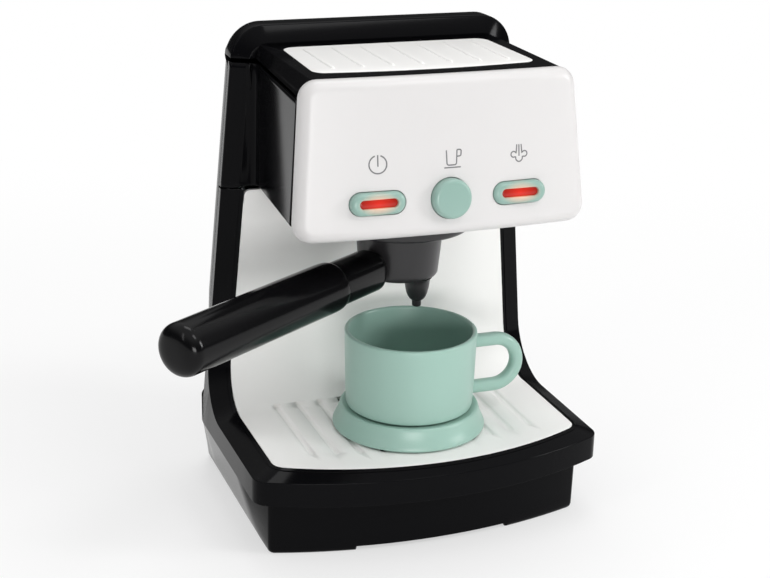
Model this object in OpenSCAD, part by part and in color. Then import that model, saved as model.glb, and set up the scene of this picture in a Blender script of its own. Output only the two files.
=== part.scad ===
// Toy espresso machine with a filter holder that turns, three push buttons, a cup and a saucer.
// +X is to the right of someone facing the machine, +Y points to its back and +Z points up.
// The origin is on the floor, in the middle of the base's footprint.

/* [Outer form] */
// Height over the hoop at the top of the column
body_h = 235; // [228:1:242]
// Width over the rim around the tray
rim_w = 176; // [172:1:182]
// Width of the column where it ends at the top
top_w = 143; // [140:1:146]
// Width of the base at the floor
foot_w = 159; // [154:1:162]
// Depth of the base at the floor, along the centre line
foot_d = 130; // [126:1:136]
// Height of the outer ridge of the rim
rim_h = 42; // [40:1:44]
// Height of the upright band at the front of the rim
band_h = 12; // [9:1:14]
// How far the band stands forward of the base, on the centre line
band_reach = 13.7; // [11:0.1:15]
// Black ledge between the tray and the band, on the centre line
ledge_d = 6; // [5:0.1:8]
// Forward bow of the band's front
band_bow = 20; // [16:0.5:22]
// Forward bow of the base's front
foot_bow = 12.7; // [10:0.1:14]
// Distance from the back of the base to the column's front ridge
column_setback = 31; // [29:1:34]
// Hollow radius between the column and the rim
sweep_r = 28; // [24:1:32]
// Corner radius of the rim, seen from above
rim_corner_r = 9; // [6:0.5:12]
// Rear corner radius of the column, seen from above
rear_corner_r = 23; // [18:1:23.5]

/* [Black shells] */
// Wall of the black shells
shell_wall = 2.4; // [2:0.1:3]
// Width of the bevel between the ridge and the white sheet
bevel_w = 10.6; // [9:0.1:12]
// How far that bevel rises towards the white sheet
bevel_rise = 4; // [3.5:0.1:4.5]
// Width of the bevel beside the head
head_bevel_w = 8.4; // [7:0.1:9]
// Depth of the column's side in front of the rear cover
column_side_d = 4; // [3.5:0.1:6]
// Depth of the rear cover
rear_d = 24; // [24:0.5:28]
// Groove between the head and the top cover
groove_h = 2.2; // [1.6:0.1:2.6]
// Seam between the lower frame and the head
seam_h = 1; // [0.6:0.1:1.6]
// Thickness of the hoop, front to back
hoop_d = 10.5; // [9:0.5:12]
// Corner radius of the hoop
hoop_r = 15.5; // [12:0.5:18]
// Corner radius of the rear cover's top
rear_top_r = 12; // [9:0.5:14]

/* [Head and front panel] */
// Room between the tray and the head's underside, at the column
opening_h = 110.9; // [108:0.1:114]
// Rise of the head's underside from the column to the panel
head_front_lift = 6.9; // [5.5:0.1:9]
// How far the panel hangs below the head's underside, along its slope
panel_skirt = 7; // [6:0.1:9]
// Backward lean of the panel in degrees
panel_lean = 8; // [6:0.5:10]
// Distance from the column's ridge to the panel's top edge
head_reach = 94.5; // [92:0.5:98]
// Width of the panel at its top
panel_top_w = 130.4; // [128:0.2:134]
// Width of the panel at its bottom
panel_bottom_w = 142.2; // [139:0.2:145]
// Forward bow of the panel
panel_bow = 6.4; // [5:0.2:7.4]
// Depth of the panel's rim behind its bowed face
panel_side_d = 6.6; // [5:0.2:8]
// Corner radius of the panel
panel_r = 8.5; // [6:0.5:11]
// Wall of the panel
panel_wall = 2.4; // [2:0.1:3]
// How far the panel stands above the flat deck
panel_lip = 1.8; // [1:0.1:3.5]
// Width of the flat deck on top of the head
deck_w = 119; // [116:0.5:122]

/* [White parts] */
// Thickness of the white backsplash and tray sheet
sheet_t = 2.5; // [2:0.1:3]
// Width of a tray slot
slot_w = 3; // [2:0.1:3.6]
// Distance between neighbouring slots
slot_pitch = 11.3; // [10.5:0.1:12]
// Slots and grooves in the tray
slot_count = 11; // [9:2:11]
// How many of them, in the middle, are cut right through
open_slot_count = 5; // [3:2:7]
// Depth of a groove
groove_d = 0.9; // [0.6:0.1:1.2]
// Width of the cup warmer sheet at its front
warmer_w = 107.8; // [104:0.2:110]
// Depth of the cup warmer sheet
warmer_d = 59; // [54:0.5:61]
// Ridges on the cup warmer sheet
warmer_ridges = 7; // [5:1:9]

/* [Buttons] */
// Width of an oval button
oval_w = 25.7; // [24:0.1:28]
// Height of an oval button
oval_h = 10.4; // [9.6:0.1:12.5]
// Width of the lens in an oval button
lens_w = 18; // [16:0.1:19]
// Height of the lens in an oval button
lens_h = 4.6; // [3.6:0.1:5.4]
// Diameter of the round button
round_dia = 19; // [17:0.1:21]
// Distance from the middle to an oval button
button_x = 33.9; // [32:0.1:36]
// Height of the buttons' centres over the panel's lower edge
button_rise = 16.8; // [15.5:0.1:17.5]
// How far an oval button stands out
oval_proud = 2.6; // [2:0.1:3.4]
// How far the round button stands out
round_proud = 4.4; // [3.6:0.1:5.4]
// Travel of an oval button
oval_travel = 1.5; // [1:0.1:1.8]
// Travel of the round button
round_travel = 2.5; // [1.6:0.1:3]

/* [Filter holder] */
// Distance from the column's ridge to the holder's axis
group_reach = 40; // [39:0.5:42]
// Radius of the ring under the head
ring_r = 35; // [33:0.5:35.5]
// How far the ring hangs below the head's underside, at the column
ring_h = 13.4; // [11:0.1:15]
// Radius of the holder's bowl at the top
bowl_r = 21.4; // [20.8:0.1:23]
// Radius of the holder's bowl at the bottom
bowl_low_r = 19.3; // [18:0.1:20.4]
// Height of the bowl
bowl_h = 25; // [23.5:0.5:26]
// Radius of the neck that turns in the ring
neck_r = 17; // [16:0.1:17.4]
// Turn of the handle from straight ahead, at rest
handle_turn = 56; // [50:1:60]
// Height of the handle's axis over the bowl's bottom
handle_rise = 7.2; // [7.1:0.1:8.4]
// Radius of the handle's neck, where it enters the bowl
handle_neck_r = 6.6; // [6:0.1:6.8]
// Radius of the collar between the bowl and the grip
collar_r = 9.8; // [8:0.1:10.4]
// Radius of the grip
grip_r = 12; // [10.5:0.1:13]
// Where the grip starts, measured from the holder's axis
grip_start = 53; // [46:1:58]
// Where the grip ends, measured from the holder's axis
grip_end = 161; // [150:1:170]
// Depth of the rounding at the grip's free end
grip_dome = 6.5; // [5:0.5:9]
// Distance from the holder's axis to the spout
spout_offset = 11.4; // [9:0.1:12]
// Radius of the spout where it leaves the bowl
spout_r = 6.4; // [5.6:0.1:7]
// Length of the spout below the bowl
spout_l = 15; // [12:0.5:16]

/* [Cup and saucer] */
// Outer radius of the cup
cup_r = 32.2; // [31:0.1:33]
// Height of the cup
cup_h = 38.4; // [36:0.2:40]
// Wall of the cup
cup_wall = 2.3; // [2:0.1:3]
// Outer radius of the saucer
saucer_r = 37.4; // [36.8:0.1:39]
// Height of the saucer
saucer_h = 11; // [9:0.2:12]
// Distance from the cup's axis to the middle of its ring handle
loop_x = 44.6; // [44:0.1:46]
// Radius of the handle's ring, to the middle of its section
loop_r = 12.2; // [11.5:0.1:13]
// Radius of the handle's section
loop_section_r = 3.3; // [2.8:0.1:3.6]

/* [Inside] */
// Diameter of a battery cell
cell_dia = 14.5; // [14:0.1:14.5]
// Length of a battery cell
cell_l = 50.5; // [49:0.1:50.5]
// Battery cells side by side
cell_count = 3; // [2:1:3]
// Diameter of the speaker
speaker_dia = 36; // [30:1:40]
// Height of the rubber feet under the bottom plate
foot_pad_h = 2.6; // [2:0.1:3.4]

/* [Hidden] */
$fn = 96;

// Clearances: between fixed neighbours, between moving neighbours and round a turning neck
fit_gap = 0.15;
move_gap = 0.3;
turn_gap = 0.05;
rest_gap = 0.2;
sliver = 0.2;
deep = 400;

// Heights and places of the outer form
foot_front_y = -foot_d / 2;
foot_back_y = foot_d / 2;
band_z = rim_h - band_h;
band_front_y = foot_front_y - band_reach;
column_y = foot_back_y - column_setback;
sheet_y = column_y - bevel_rise;
tray_z = rim_h + bevel_rise;
side_back_y = column_y + column_side_d;
rear_y = side_back_y + rear_d;
rear_base_r = 28;
rear_in_y = rear_y - 1 - shell_wall - 0.6;
foot_corner_r = 3;
foot_rear_r = 4;
band_flare_d = 14;
base_top_z = rim_h + 1.6;
tray_half_w = rim_w / 2 - bevel_w;
tray_front_y = band_front_y + ledge_d;
tray_bow = band_bow - 1.1;
notch_half_w = 40;
notch_h = 2.5;

// Heights of the head
seam_top_z = body_h - 16.5;
head_top_z = seam_top_z - groove_h / 2;
head_z = tray_z + opening_h;
head_h = head_top_z - head_z;
frame_top_z = head_z - seam_h;
cover_z = seam_top_z + groove_h / 2;
deck_z = body_h - 9;
panel_top_z = deck_z + panel_lip;
panel_top_y = column_y - head_reach;
panel_h = (panel_top_z - head_z - head_front_lift) / cos(panel_lean) + panel_skirt;
panel_mid_z = panel_top_z - panel_h / 2 * cos(panel_lean);
panel_mid_y = panel_top_y - panel_h / 2 * sin(panel_lean);
panel_bow_r = (pow(panel_bottom_w / 2, 2) + pow(panel_bow, 2)) / (2 * panel_bow);
panel_back_n = -panel_bow - panel_side_d;
panel_gap_y = panel_top_y + panel_side_d;
panel_gap = 0.6;
head_root_half_w = 61.5;
head_root_y = sheet_y;
ring_z = head_z - ring_h;

// Lower edge of the slice at the head's front, and the slope of the underside up to it
head_slice_t = 1;
head_slice_n = panel_back_n - panel_gap - head_slice_t + panel_bow + 0.6;
head_low_v = panel_skirt - panel_h / 2;
head_low_y = panel_mid_y + head_low_v * sin(panel_lean) - head_slice_n * cos(panel_lean);
head_low_z = panel_mid_z + head_low_v * cos(panel_lean) + head_slice_n * sin(panel_lean);
head_floor_slope = (head_low_z - head_z) / (head_root_y - head_low_y);
warmer_back_w = warmer_w - 3;
warmer_t = 2;
warmer_back_y = sheet_y - 9;

// Half width of the machine at height z
function half_w(z) =
    rim_w / 2 - (max(z, rim_h) - rim_h) * (rim_w - top_w) / 2 / (body_h - rim_h);
// Radius of an arc from its half chord and its bow
function bow_radius(half, bow) = (half * half + bow * bow) / (2 * bow);
// How far the bowed panel falls back at distance x from its middle
function panel_fall(x) = panel_bow_r - sqrt(pow(panel_bow_r, 2) - x * x);

// Plan outline with a bowed front, front corners of radius rf and rear corners of radius rb
module plan(half, front, bow, back, rf, rb) {
    r = bow_radius(half, bow);
    intersection() {
        offset(r = rf) offset(delta = -rf) intersection() {
            translate([-half, front - 1]) square([2 * half, back - front + 1]);
            translate([0, front + r]) circle(r, $fn = 240);
        }
        offset(r = rb) offset(delta = -rb)
            translate([-half, back - deep]) square([2 * half, deep]);
    }
}

// The same outline with square rear corners
module plan_square_back(half, front, bow, back, rf) {
    r = bow_radius(half, bow);
    offset(r = rf) offset(delta = -rf) intersection() {
        translate([-half, front - 1]) square([2 * half, back + rf - front + 1]);
        translate([0, front + r]) circle(r, $fn = 240);
        translate([-half, front - 1]) square([2 * half, back - front + 1]);
    }
    translate([-half, back - rf - 1]) square([2 * half, rf + 1]);
}

// Upright outline of the column between heights z0 and z1, inset from the sides
module column_outline(z0, z1, inset) {
    zs = z0 < rim_h && z1 > rim_h ? [z0, rim_h, z1] : [z0, z1];
    polygon(concat(
        [for (z = zs) [half_w(z) - inset, z]],
        [for (i = [len(zs) - 1:-1:0]) [inset - half_w(zs[i]), zs[i]]]
    ));
}

// The same with its two upper corners rounded
module column_outline_round(z0, z1, inset, corner) {
    top = half_w(z1) - inset;
    low_z = z0 - 60;
    low = top + (z1 - low_z) * (rim_w - top_w) / 2 / (body_h - rim_h);
    intersection() {
        offset(r = corner) offset(delta = -corner)
            polygon([[-low, low_z], [low, low_z], [top, z1], [-top, z1]]);
        translate([inset - rim_w / 2, z0]) square([rim_w - 2 * inset, z1 - z0 + 1]);
    }
}

// An upright outline drawn in X and Z, standing from y0 to y1
module stand(y0, y1) {
    translate([0, y1, 0]) rotate([90, 0, 0]) linear_extrude(y1 - y0) children();
}

// A side profile drawn in Y and Z, spread from -half to half along X
module spread(half) {
    translate([-half, 0, 0]) rotate([90, 0, 90]) linear_extrude(2 * half) children();
}

// Everything behind and under the L-shaped face, with that face raised by d
module behind_face(d) {
    centre = [column_y - sweep_r, rim_h + sweep_r];
    difference() {
        translate([-deep / 2, -1]) square([deep, body_h + 60]);
        translate([-deep, centre[1]]) square([deep + column_y - d, deep]);
        translate([-deep, rim_h + d]) square([deep + centre[0], deep]);
        translate(centre) circle(sweep_r - d);
    }
}

module oval(w, h) {
    for (side = [-1, 1]) translate([side * (w - h) / 2, 0]) circle(h / 2);
    square([w - h, h], center = true);
}

// Puts children on the panel's face: x across, y up the slope and z outwards
module on_panel() {
    translate([0, panel_mid_y, panel_mid_z]) rotate([90 - panel_lean, 0, 0]) children();
}

// ---- Lower frame: base, rim and the lower half of the column in one moulding ----

screw_post_r = 3.4;
screw_r = 1.3;
screw_hole_r = 1.0;
head_screw_r = 2.6;
base_post_x = foot_w / 2 - 30;
base_post_ys = [foot_front_y + 22, column_y - sweep_r + 5];
base_post_top = rim_h - 6;
plate_z = foot_pad_h;
plate_t = 2.4;

module base_post_places() {
    for (x = [-1, 1], y = base_post_ys) translate([x * base_post_x, y, 0]) children();
}

module frame_outside() {
    // Base walls, drawn in towards the floor
    hull() {
        linear_extrude(sliver)
            plan(foot_w / 2, foot_front_y, foot_bow, foot_back_y, foot_corner_r, foot_rear_r, $fn = 32);
        translate([0, 0, band_z]) linear_extrude(sliver) intersection() {
            plan(rim_w / 2, foot_front_y, foot_bow, rear_y - 1, foot_corner_r, rear_base_r, $fn = 32);
            polygon([
                [-foot_w / 2 - 0.5, -deep], [foot_w / 2 + 0.5, -deep],
                [foot_w / 2 + 0.5, foot_front_y + foot_bow],
                [rim_w / 2, foot_front_y + foot_bow + band_flare_d], [rim_w / 2, deep],
                [-rim_w / 2, deep], [-rim_w / 2, foot_front_y + foot_bow + band_flare_d],
                [-foot_w / 2 - 0.5, foot_front_y + foot_bow]
            ]);
        }
    }
    // Upright band and the rear part of the base
    translate([0, 0, band_z]) linear_extrude(band_h)
        plan(rim_w / 2, band_front_y, band_bow, rear_y - 1, rim_corner_r, rear_base_r, $fn = 32);
    translate([0, 0, rim_h]) linear_extrude(base_top_z - rim_h) intersection() {
        plan(rim_w / 2, band_front_y, band_bow, rear_y - 1, rim_corner_r, rear_base_r, $fn = 32);
        translate([-deep / 2, side_back_y - 1]) square(deep);
    }
    // Bevel round the tray
    hull() {
        translate([0, 0, rim_h - 1]) linear_extrude(sliver)
            plan_square_back(rim_w / 2 - sliver, band_front_y + sliver, band_bow, side_back_y - 1,
                             rim_corner_r, $fn = 32);
        translate([0, 0, tray_z - sliver]) linear_extrude(sliver)
            plan_square_back(tray_half_w, tray_front_y, tray_bow, side_back_y - 1, rim_corner_r,
                             $fn = 32);
    }
    // Bevel up the column
    hull() {
        stand(column_y, side_back_y) column_outline(rim_h, frame_top_z, 0);
        stand(sheet_y, sheet_y + sliver) column_outline(rim_h, frame_top_z, bevel_w);
    }
    // Hollow sweep from the column into the rim
    difference() {
        translate([-rim_w / 2, column_y - sweep_r, rim_h - 1])
            cube([rim_w, sweep_r, sweep_r + 1]);
        translate([-tray_half_w, column_y - sweep_r, rim_h + sweep_r]) rotate([0, 90, 0])
            cylinder(r = sweep_r - bevel_rise, h = 2 * tray_half_w);
        for (side = [0, 1]) mirror([side, 0, 0])
            translate([tray_half_w - sliver, column_y - sweep_r, rim_h + sweep_r])
                rotate([0, 90, 0]) cylinder(r1 = sweep_r - bevel_rise, r2 = sweep_r, h = bevel_w + 1);
        sweep_side_cut();
    }
}

// Trims the sweep's block to the leaning sides of the column
module sweep_side_cut() {
    for (side = [0, 1]) mirror([side, 0, 0]) stand(-deep / 2, deep / 2) polygon([
        [half_w(rim_h), rim_h], [half_w(body_h), body_h], [rim_w, body_h], [rim_w, rim_h]
    ]);
}

// Side profile of the hollow behind the sheet, made of straight lines
module hollow_profile(d) {
    r = (sweep_r - d) / cos(11.25);
    polygon(concat(
        [[side_back_y + 40, frame_top_z + 1], [column_y - d, frame_top_z + 1]],
        [for (a = [348.75:-22.5:281.25])
            [column_y - sweep_r + r * cos(a), rim_h + sweep_r + r * sin(a)]],
        [[-deep / 2, rim_h + d], [-deep / 2, -1], [side_back_y + 40, -1]]
    ));
}

// Inside of the base under the band, its sides leaning with the walls outside
module base_hollow() {
    half = rim_w / 2 - shell_wall - 0.5;
    low_half = foot_w / 2 - shell_wall;
    front = foot_front_y + foot_bow;
    intersection() {
        translate([0, 0, -1]) linear_extrude(band_z + 5) intersection() {
            plan(half, foot_front_y + shell_wall, foot_bow, rear_in_y, foot_corner_r, rear_base_r);
            polygon([
                [-low_half, -deep], [low_half, -deep], [low_half, front],
                [half, front + band_flare_d + 2], [half, deep], [-half, deep],
                [-half, front + band_flare_d + 2], [-low_half, front]
            ]);
        }
        stand(-deep / 2, deep / 2) polygon([
            [-low_half, -1], [low_half, -1], [half, band_z], [half, band_z + 5],
            [-half, band_z + 5], [-half, band_z]
        ]);
    }
}

module frame_inside() {
    intersection() {
        spread(rim_w) hollow_profile(bevel_rise - sheet_t - fit_gap - shell_wall);
        union() {
            base_hollow();
            translate([0, 0, band_z + shell_wall]) linear_extrude(20)
                plan(rim_w / 2 - shell_wall, band_front_y + shell_wall, band_bow,
                     rear_in_y + 0.6, rim_corner_r, rear_base_r);
            stand(0, side_back_y + 5) column_outline(band_z + 4, frame_top_z + 1, shell_wall);
        }
    }
}

// Seat for the white sheet, open to the front
module sheet_seat(gap) {
    intersection() {
        spread(rim_w) difference() {
            behind_face(bevel_rise + 6);
            behind_face(bevel_rise - sheet_t - gap);
        }
        sheet_limits(gap);
    }
}

module sheet_limits(gap) {
    stand(-deep / 2, column_y + 5) column_outline(rim_h - 10, frame_top_z + gap, bevel_w - gap);
    // The tray's own outline bounds the front
}

module tray_plan(gap) {
    plan_square_back(tray_half_w + gap, tray_front_y - gap, tray_bow, deep / 2, rim_corner_r - 1);
}

// Bosses behind the sheet for the rear cover's screws, at heights zs
module rear_bosses(zs) {
    for (x = [-1, 1], z = zs) translate([x * rear_post_x, sheet_y + 4, z]) rotate([-90, 0, 0])
        cylinder(r = screw_post_r, h = side_back_y + 0.7 - sheet_y - 4);
}

module rear_boss_holes(zs) {
    for (x = [-1, 1], z = zs) translate([x * rear_post_x, sheet_y + 3.5, z]) rotate([-90, 0, 0])
        cylinder(r = screw_hole_r, h = 20);
}

// Blocks that join the lower frame to the head shell
module joint_blocks(z0, z1) {
    for (x = [-1, 1]) translate([x * head_screw_x - 5, sheet_y + 2, z0]) cube([10, 14, z1 - z0]);
}

module lower_frame() {
    color("#0c0c0e") difference() {
        union() {
            difference() {
                frame_outside();
                frame_inside();
            }
            base_post_places() translate([0, 0, plate_z + plate_t + fit_gap])
                cylinder(r = screw_post_r, h = rim_h - plate_z - plate_t);
            rear_bosses([rear_post_zs[0], rear_post_zs[1]]);
            joint_blocks(frame_top_z - 14, frame_top_z);
        }
        intersection() {
            sheet_seat(fit_gap);
            translate([0, 0, -1]) linear_extrude(deep) tray_plan(fit_gap);
        }
        base_post_places() cylinder(r = screw_hole_r, h = base_post_top);
        rear_boss_holes([rear_post_zs[0], rear_post_zs[1]]);
        head_screw_places() translate([0, 0, -12]) cylinder(r = screw_hole_r, h = 14);
        // Shallow relief between the front feet
        translate([-notch_half_w, foot_front_y - 5, -1])
            cube([2 * notch_half_w, foot_bow + 12, notch_h + 1]);
        translate([-deep / 2, -deep / 2, frame_top_z]) cube([deep, deep, deep]);
    }
}

// ---- White backsplash and tray, one curved sheet ----

tray_rib_front_y = tray_front_y + 21;
tray_rib_back_y = -1.5;
slot_curve = 8.4;

module slot(k, depth) {
    half = floor(slot_count / 2);
    front = tray_rib_front_y + slot_curve * pow(k / half, 2);
    for (y = [front, tray_rib_back_y])
        translate([k * slot_pitch, y, tray_z - depth]) cylinder(r = slot_w / 2, h = depth + 1);
    translate([k * slot_pitch - slot_w / 2, front, tray_z - depth])
        cube([slot_w, tray_rib_back_y - front, depth + 1]);
}

module backsplash_tray() {
    half = floor(slot_count / 2);
    open_half = floor(open_slot_count / 2);
    color("#f4f3f1") difference() {
        intersection() {
            spread(rim_w / 2) difference() {
                behind_face(bevel_rise);
                behind_face(bevel_rise - sheet_t);
            }
            stand(-deep / 2, column_y + 5) column_outline_round(rim_h - 10, frame_top_z, bevel_w, 3);
            translate([0, 0, -1]) linear_extrude(deep) tray_plan(0);
        }
        for (k = [-half:half]) slot(k, abs(k) <= open_half ? sheet_t + 1 : groove_d);
    }
}

// ---- Head shell: upper half of the column with the box of the head ----

ring_screw_r = 28;
ring_screw_angles = [45, 135, 225, 315];
group_y = column_y - group_reach;
group_bore_r = neck_r + 8;

// Room kept for the panel: everything in front of its bowed back
module panel_room(gap) {
    on_panel() difference() {
        translate([-deep / 2, -panel_h, panel_back_n - 20]) cube([deep, 2 * panel_h, deep]);
        translate([0, 0, -panel_bow_r]) rotate([90, 0, 0])
            cylinder(r = panel_bow_r - panel_side_d - gap, h = deep, center = true, $fn = 360);
    }
}

// A slice across the front of the head, in the panel's slope
module head_front_slice(inset, t, z_low, z_high, back) {
    top_half = (panel_top_w / 2 - 0.8) - inset;
    low_half = (panel_bottom_w / 2 - 1) - inset;
    on_panel() translate([0, 0, head_slice_n + back]) linear_extrude(t)
        polygon([
            [-low_half, z_low + inset], [low_half, z_low + inset],
            [top_half, z_high], [-top_half, z_high]
        ]);
}

module head_box(inset) {
    v_high = panel_h / 2 - panel_lip - 2;
    hull() {
        head_front_slice(inset, head_slice_t, head_low_v, v_high, inset > 0 ? 2 : 0);
        stand(head_root_y, head_root_y + 1) polygon([
            [-head_root_half_w + inset, head_z + inset], [head_root_half_w - inset, head_z + inset],
            [head_root_half_w - inset, seam_top_z + 4], [-head_root_half_w + inset, seam_top_z + 4]
        ]);
    }
}

module column_slab(z0, z1, bevel) {
    hull() {
        stand(column_y, side_back_y) column_outline(z0, z1, 0);
        stand(sheet_y, sheet_y + sliver) column_outline(z0, z1, bevel);
    }
}

module head_shell() {
    color("#0c0c0e") difference() {
        union() {
            difference() {
                union() {
                    column_slab(head_z, head_top_z, head_bevel_w);
                    head_box(0);
                }
                panel_room(panel_gap);
                head_box(shell_wall);
                // Hollow of the column and the way through to the head
                stand(sheet_y + shell_wall, side_back_y + 5)
                    column_outline(head_z - 1, head_top_z + 1, shell_wall + 1.5);
                stand(sheet_y - 2, sheet_y + 9)
                    translate([-48, head_z + 8]) square([96, head_h]);
            }
            stand(sheet_y, sheet_y + 5) intersection() {
                column_outline(head_z, head_top_z, head_bevel_w);
                translate([-rear_post_x - 5, rear_post_zs[2] - 6]) square([10, 12]);
            }
            stand(sheet_y, sheet_y + 5) intersection() {
                column_outline(head_z, head_top_z, head_bevel_w);
                translate([rear_post_x - 5, rear_post_zs[2] - 6]) square([10, 12]);
            }
            rear_bosses([rear_post_zs[2]]);
            joint_blocks(head_z, head_z + 5);
        }
        translate([0, 0, head_top_z]) translate([-deep / 2, -deep / 2]) cube([deep, deep, deep]);
        translate([0, group_y, head_z - 1]) cylinder(r = 6, h = 20);
        for (a = ring_screw_angles) translate([0, group_y, head_z - 1]) rotate(a)
            translate([ring_screw_r, 0, 0]) cylinder(r = screw_r + fit_gap, h = 20);
        rear_boss_holes([rear_post_zs[2]]);
        head_screw_places() translate([0, 0, -1]) cylinder(r = screw_r + fit_gap, h = 8);
    }
}

head_screw_x = half_w(head_z) - 13;
module head_screw_places() {
    for (x = [-1, 1]) translate([x * head_screw_x, column_y + 7, head_z]) children();
}

// ---- Top cover: the deck over the head and the hoop over the column ----

tongue_h = 3;
warmer_seat = 0.2;

module deck_outline(front_half, back_half) {
    polygon([
        [-front_half, cover_front_y], [front_half, cover_front_y],
        [back_half, sheet_y + 1], [-back_half, sheet_y + 1]
    ]);
}
cover_front_y = panel_top_y - 4;
cover_low_half = panel_top_w / 2 - 0.6;

module warmer_plan(gap) {
    front = warmer_back_y - warmer_d;
    offset(r = 6 + gap) offset(delta = -6) polygon([
        [-warmer_w / 2, front], [warmer_w / 2, front],
        [warmer_back_w / 2, warmer_back_y], [-warmer_back_w / 2, warmer_back_y]
    ]);
}

module top_cover() {
    color("#0c0c0e") difference() {
        union() {
            // Bevelled deck
            hull() {
                translate([0, 0, cover_z]) linear_extrude(sliver)
                    deck_outline(cover_low_half, head_root_half_w);
                translate([0, 0, deck_z - sliver]) linear_extrude(sliver)
                    deck_outline(deck_w / 2, deck_w / 2);
            }
            // Hoop
            stand(column_y, column_y + hoop_d)
                column_outline_round(cover_z, body_h, 0, hoop_r);
            hull() {
                stand(column_y, column_y + 1) column_outline_round(cover_z, body_h, 0, hoop_r);
                stand(sheet_y, sheet_y + sliver)
                    column_outline_round(cover_z, body_h - head_bevel_w, head_bevel_w, 8);
            }
        }
        panel_room(panel_gap);
        // Hollow under the deck and inside the hoop
        translate([0, 0, cover_z - 1]) linear_extrude(deck_z - cover_z - warmer_t - 1.4 + 1)
            offset(delta = -shell_wall) deck_outline(deck_w / 2, head_root_half_w - 2);
        stand(column_y, column_y + hoop_d - shell_wall)
            column_outline_round(cover_z - 1, body_h - shell_wall, shell_wall + 1, 12);
        // Seat of the cup warmer sheet
        translate([0, 0, deck_z - warmer_t - warmer_seat]) linear_extrude(20) warmer_plan(fit_gap);
    }
}

module warmer_tray() {
    ridge_half_d = warmer_d / 2 - 7;
    color("#f4f3f1") {
        translate([0, 0, deck_z - warmer_t]) linear_extrude(warmer_t + warmer_seat) warmer_plan(0);
        for (i = [0:warmer_ridges - 1]) {
            x = (i - (warmer_ridges - 1) / 2) * warmer_w / (warmer_ridges + 0.6);
            translate([x, warmer_back_y - warmer_d / 2, deck_z + warmer_seat - 0.2])
                rotate([90, 0, 0]) cylinder(r = 0.7, h = 2 * ridge_half_d, center = true, $fn = 24);
        }
    }
}

// ---- Rear cover, rounded, screwed on from behind ----

rear_low_z = base_top_z + 0.4;
rear_gap = 0.3;
rear_post_r = 3.6;
rear_post_x = 57;
rear_post_zs = [base_top_z + 28.4, frame_top_z - 23.9, head_top_z - 14.4];
grille_z = 105;

module rear_screw_places() {
    for (x = [-1, 1], z = rear_post_zs)
        translate([x * rear_post_x, rear_y, z]) rotate([90, 0, 0]) children();
}

module rear_form(inset) {
    intersection() {
        hull() {
            translate([0, 0, rear_low_z]) linear_extrude(sliver)
                rear_plan(half_w(rear_low_z) - inset, rear_y - inset);
            translate([0, 0, body_h - inset]) linear_extrude(sliver)
                rear_plan(half_w(body_h) - inset, rear_y - inset);
        }
        stand(0, deep / 2)
            column_outline_round(rear_low_z - 1, body_h - inset, inset - 0.4, rear_top_r - inset / 2);
    }
}

module rear_plan(half, back) {
    intersection() {
        translate([-half, side_back_y + rear_gap]) square([2 * half, back - side_back_y - rear_gap]);
        offset(r = rear_corner_r) offset(delta = -rear_corner_r)
            translate([-half, back - 200]) square([2 * half, 200]);
    }
}

module rear_cover() {
    color("#0c0c0e") difference() {
        union() {
            difference() {
                rear_form(0);
                rear_form(shell_wall);
                translate([-deep / 2, side_back_y - 1, rear_low_z - 1])
                    cube([deep, 1.2 + rear_gap, deep]);
            }
            intersection() {
                rear_form(0);
                rear_screw_places() cylinder(r = rear_post_r, h = rear_d - 1);
            }
            // Ring that holds the speaker
            translate([0, rear_y - 1, grille_z]) rotate([90, 0, 0]) difference() {
                cylinder(r = speaker_dia / 2 + 2, h = shell_wall + 4);
                translate([0, 0, shell_wall - 1]) cylinder(r = speaker_dia / 2 + fit_gap, h = 10);
            }
        }
        // Room for the hoop
        translate([-deep / 2, side_back_y - 10, cover_z - 1.4])
            cube([deep, hoop_d - column_side_d + 10 + rear_gap, deep]);
        rear_screw_places() {
            translate([0, 0, -1]) cylinder(r = head_screw_r + 0.1, h = 4.9);
            cylinder(r = screw_r + fit_gap, h = rear_d + 10);
        }
        // Speaker grille
        for (i = [-3:3]) translate([i * 5, rear_y - 8, grille_z])
            rotate([-90, 0, 0]) rear_slot(22 - abs(i) * 3);
    }
}

module rear_slot(l) {
    linear_extrude(20) rotate(90) oval(l, 2);
}

module speaker() {
    speaker_y = rear_y - shell_wall - fit_gap;
    color("#303236") translate([0, speaker_y, grille_z]) rotate([90, 0, 0]) {
        cylinder(r = speaker_dia / 2, h = 2);
        translate([0, 0, 2]) cylinder(r1 = speaker_dia / 2 - 2, r2 = 10, h = 5);
        translate([0, 0, 7]) cylinder(r = 10, h = 4.5);
    }
}

// ---- Bottom plate, battery door and feet ----

cell_pitch = cell_dia + 0.5;
bay_w = cell_count * cell_pitch + 1;
bay_l = cell_l + 9;
bay_wall_y = foot_back_y - 10;
bay_y = bay_wall_y - bay_w / 2;
tongue_x = bay_l / 2 + 4;
bay_wall = 1.6;
bay_h = cell_dia + 2;
plate_gap = 0.4;
door_t = 2;
pad_r = 6;
pad_x = foot_w / 2 - 13;
pad_front_y = foot_front_y + 26;
pad_back_y = foot_back_y - 27;

module pad_places() {
    for (x = [-1, 1]) {
        translate([x * pad_x, pad_front_y, 0]) children();
        translate([x * pad_x, pad_back_y, 0]) children();
    }
    children();
}

module door_outline(gap) {
    translate([-bay_l / 2 - gap, bay_y - bay_w / 2 - gap]) square([bay_l + 2 * gap, bay_w + 2 * gap]);
    translate([bay_l / 2 - 1, bay_y - 5 - gap]) square([9 + gap, 10 + 2 * gap]);
}

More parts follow.
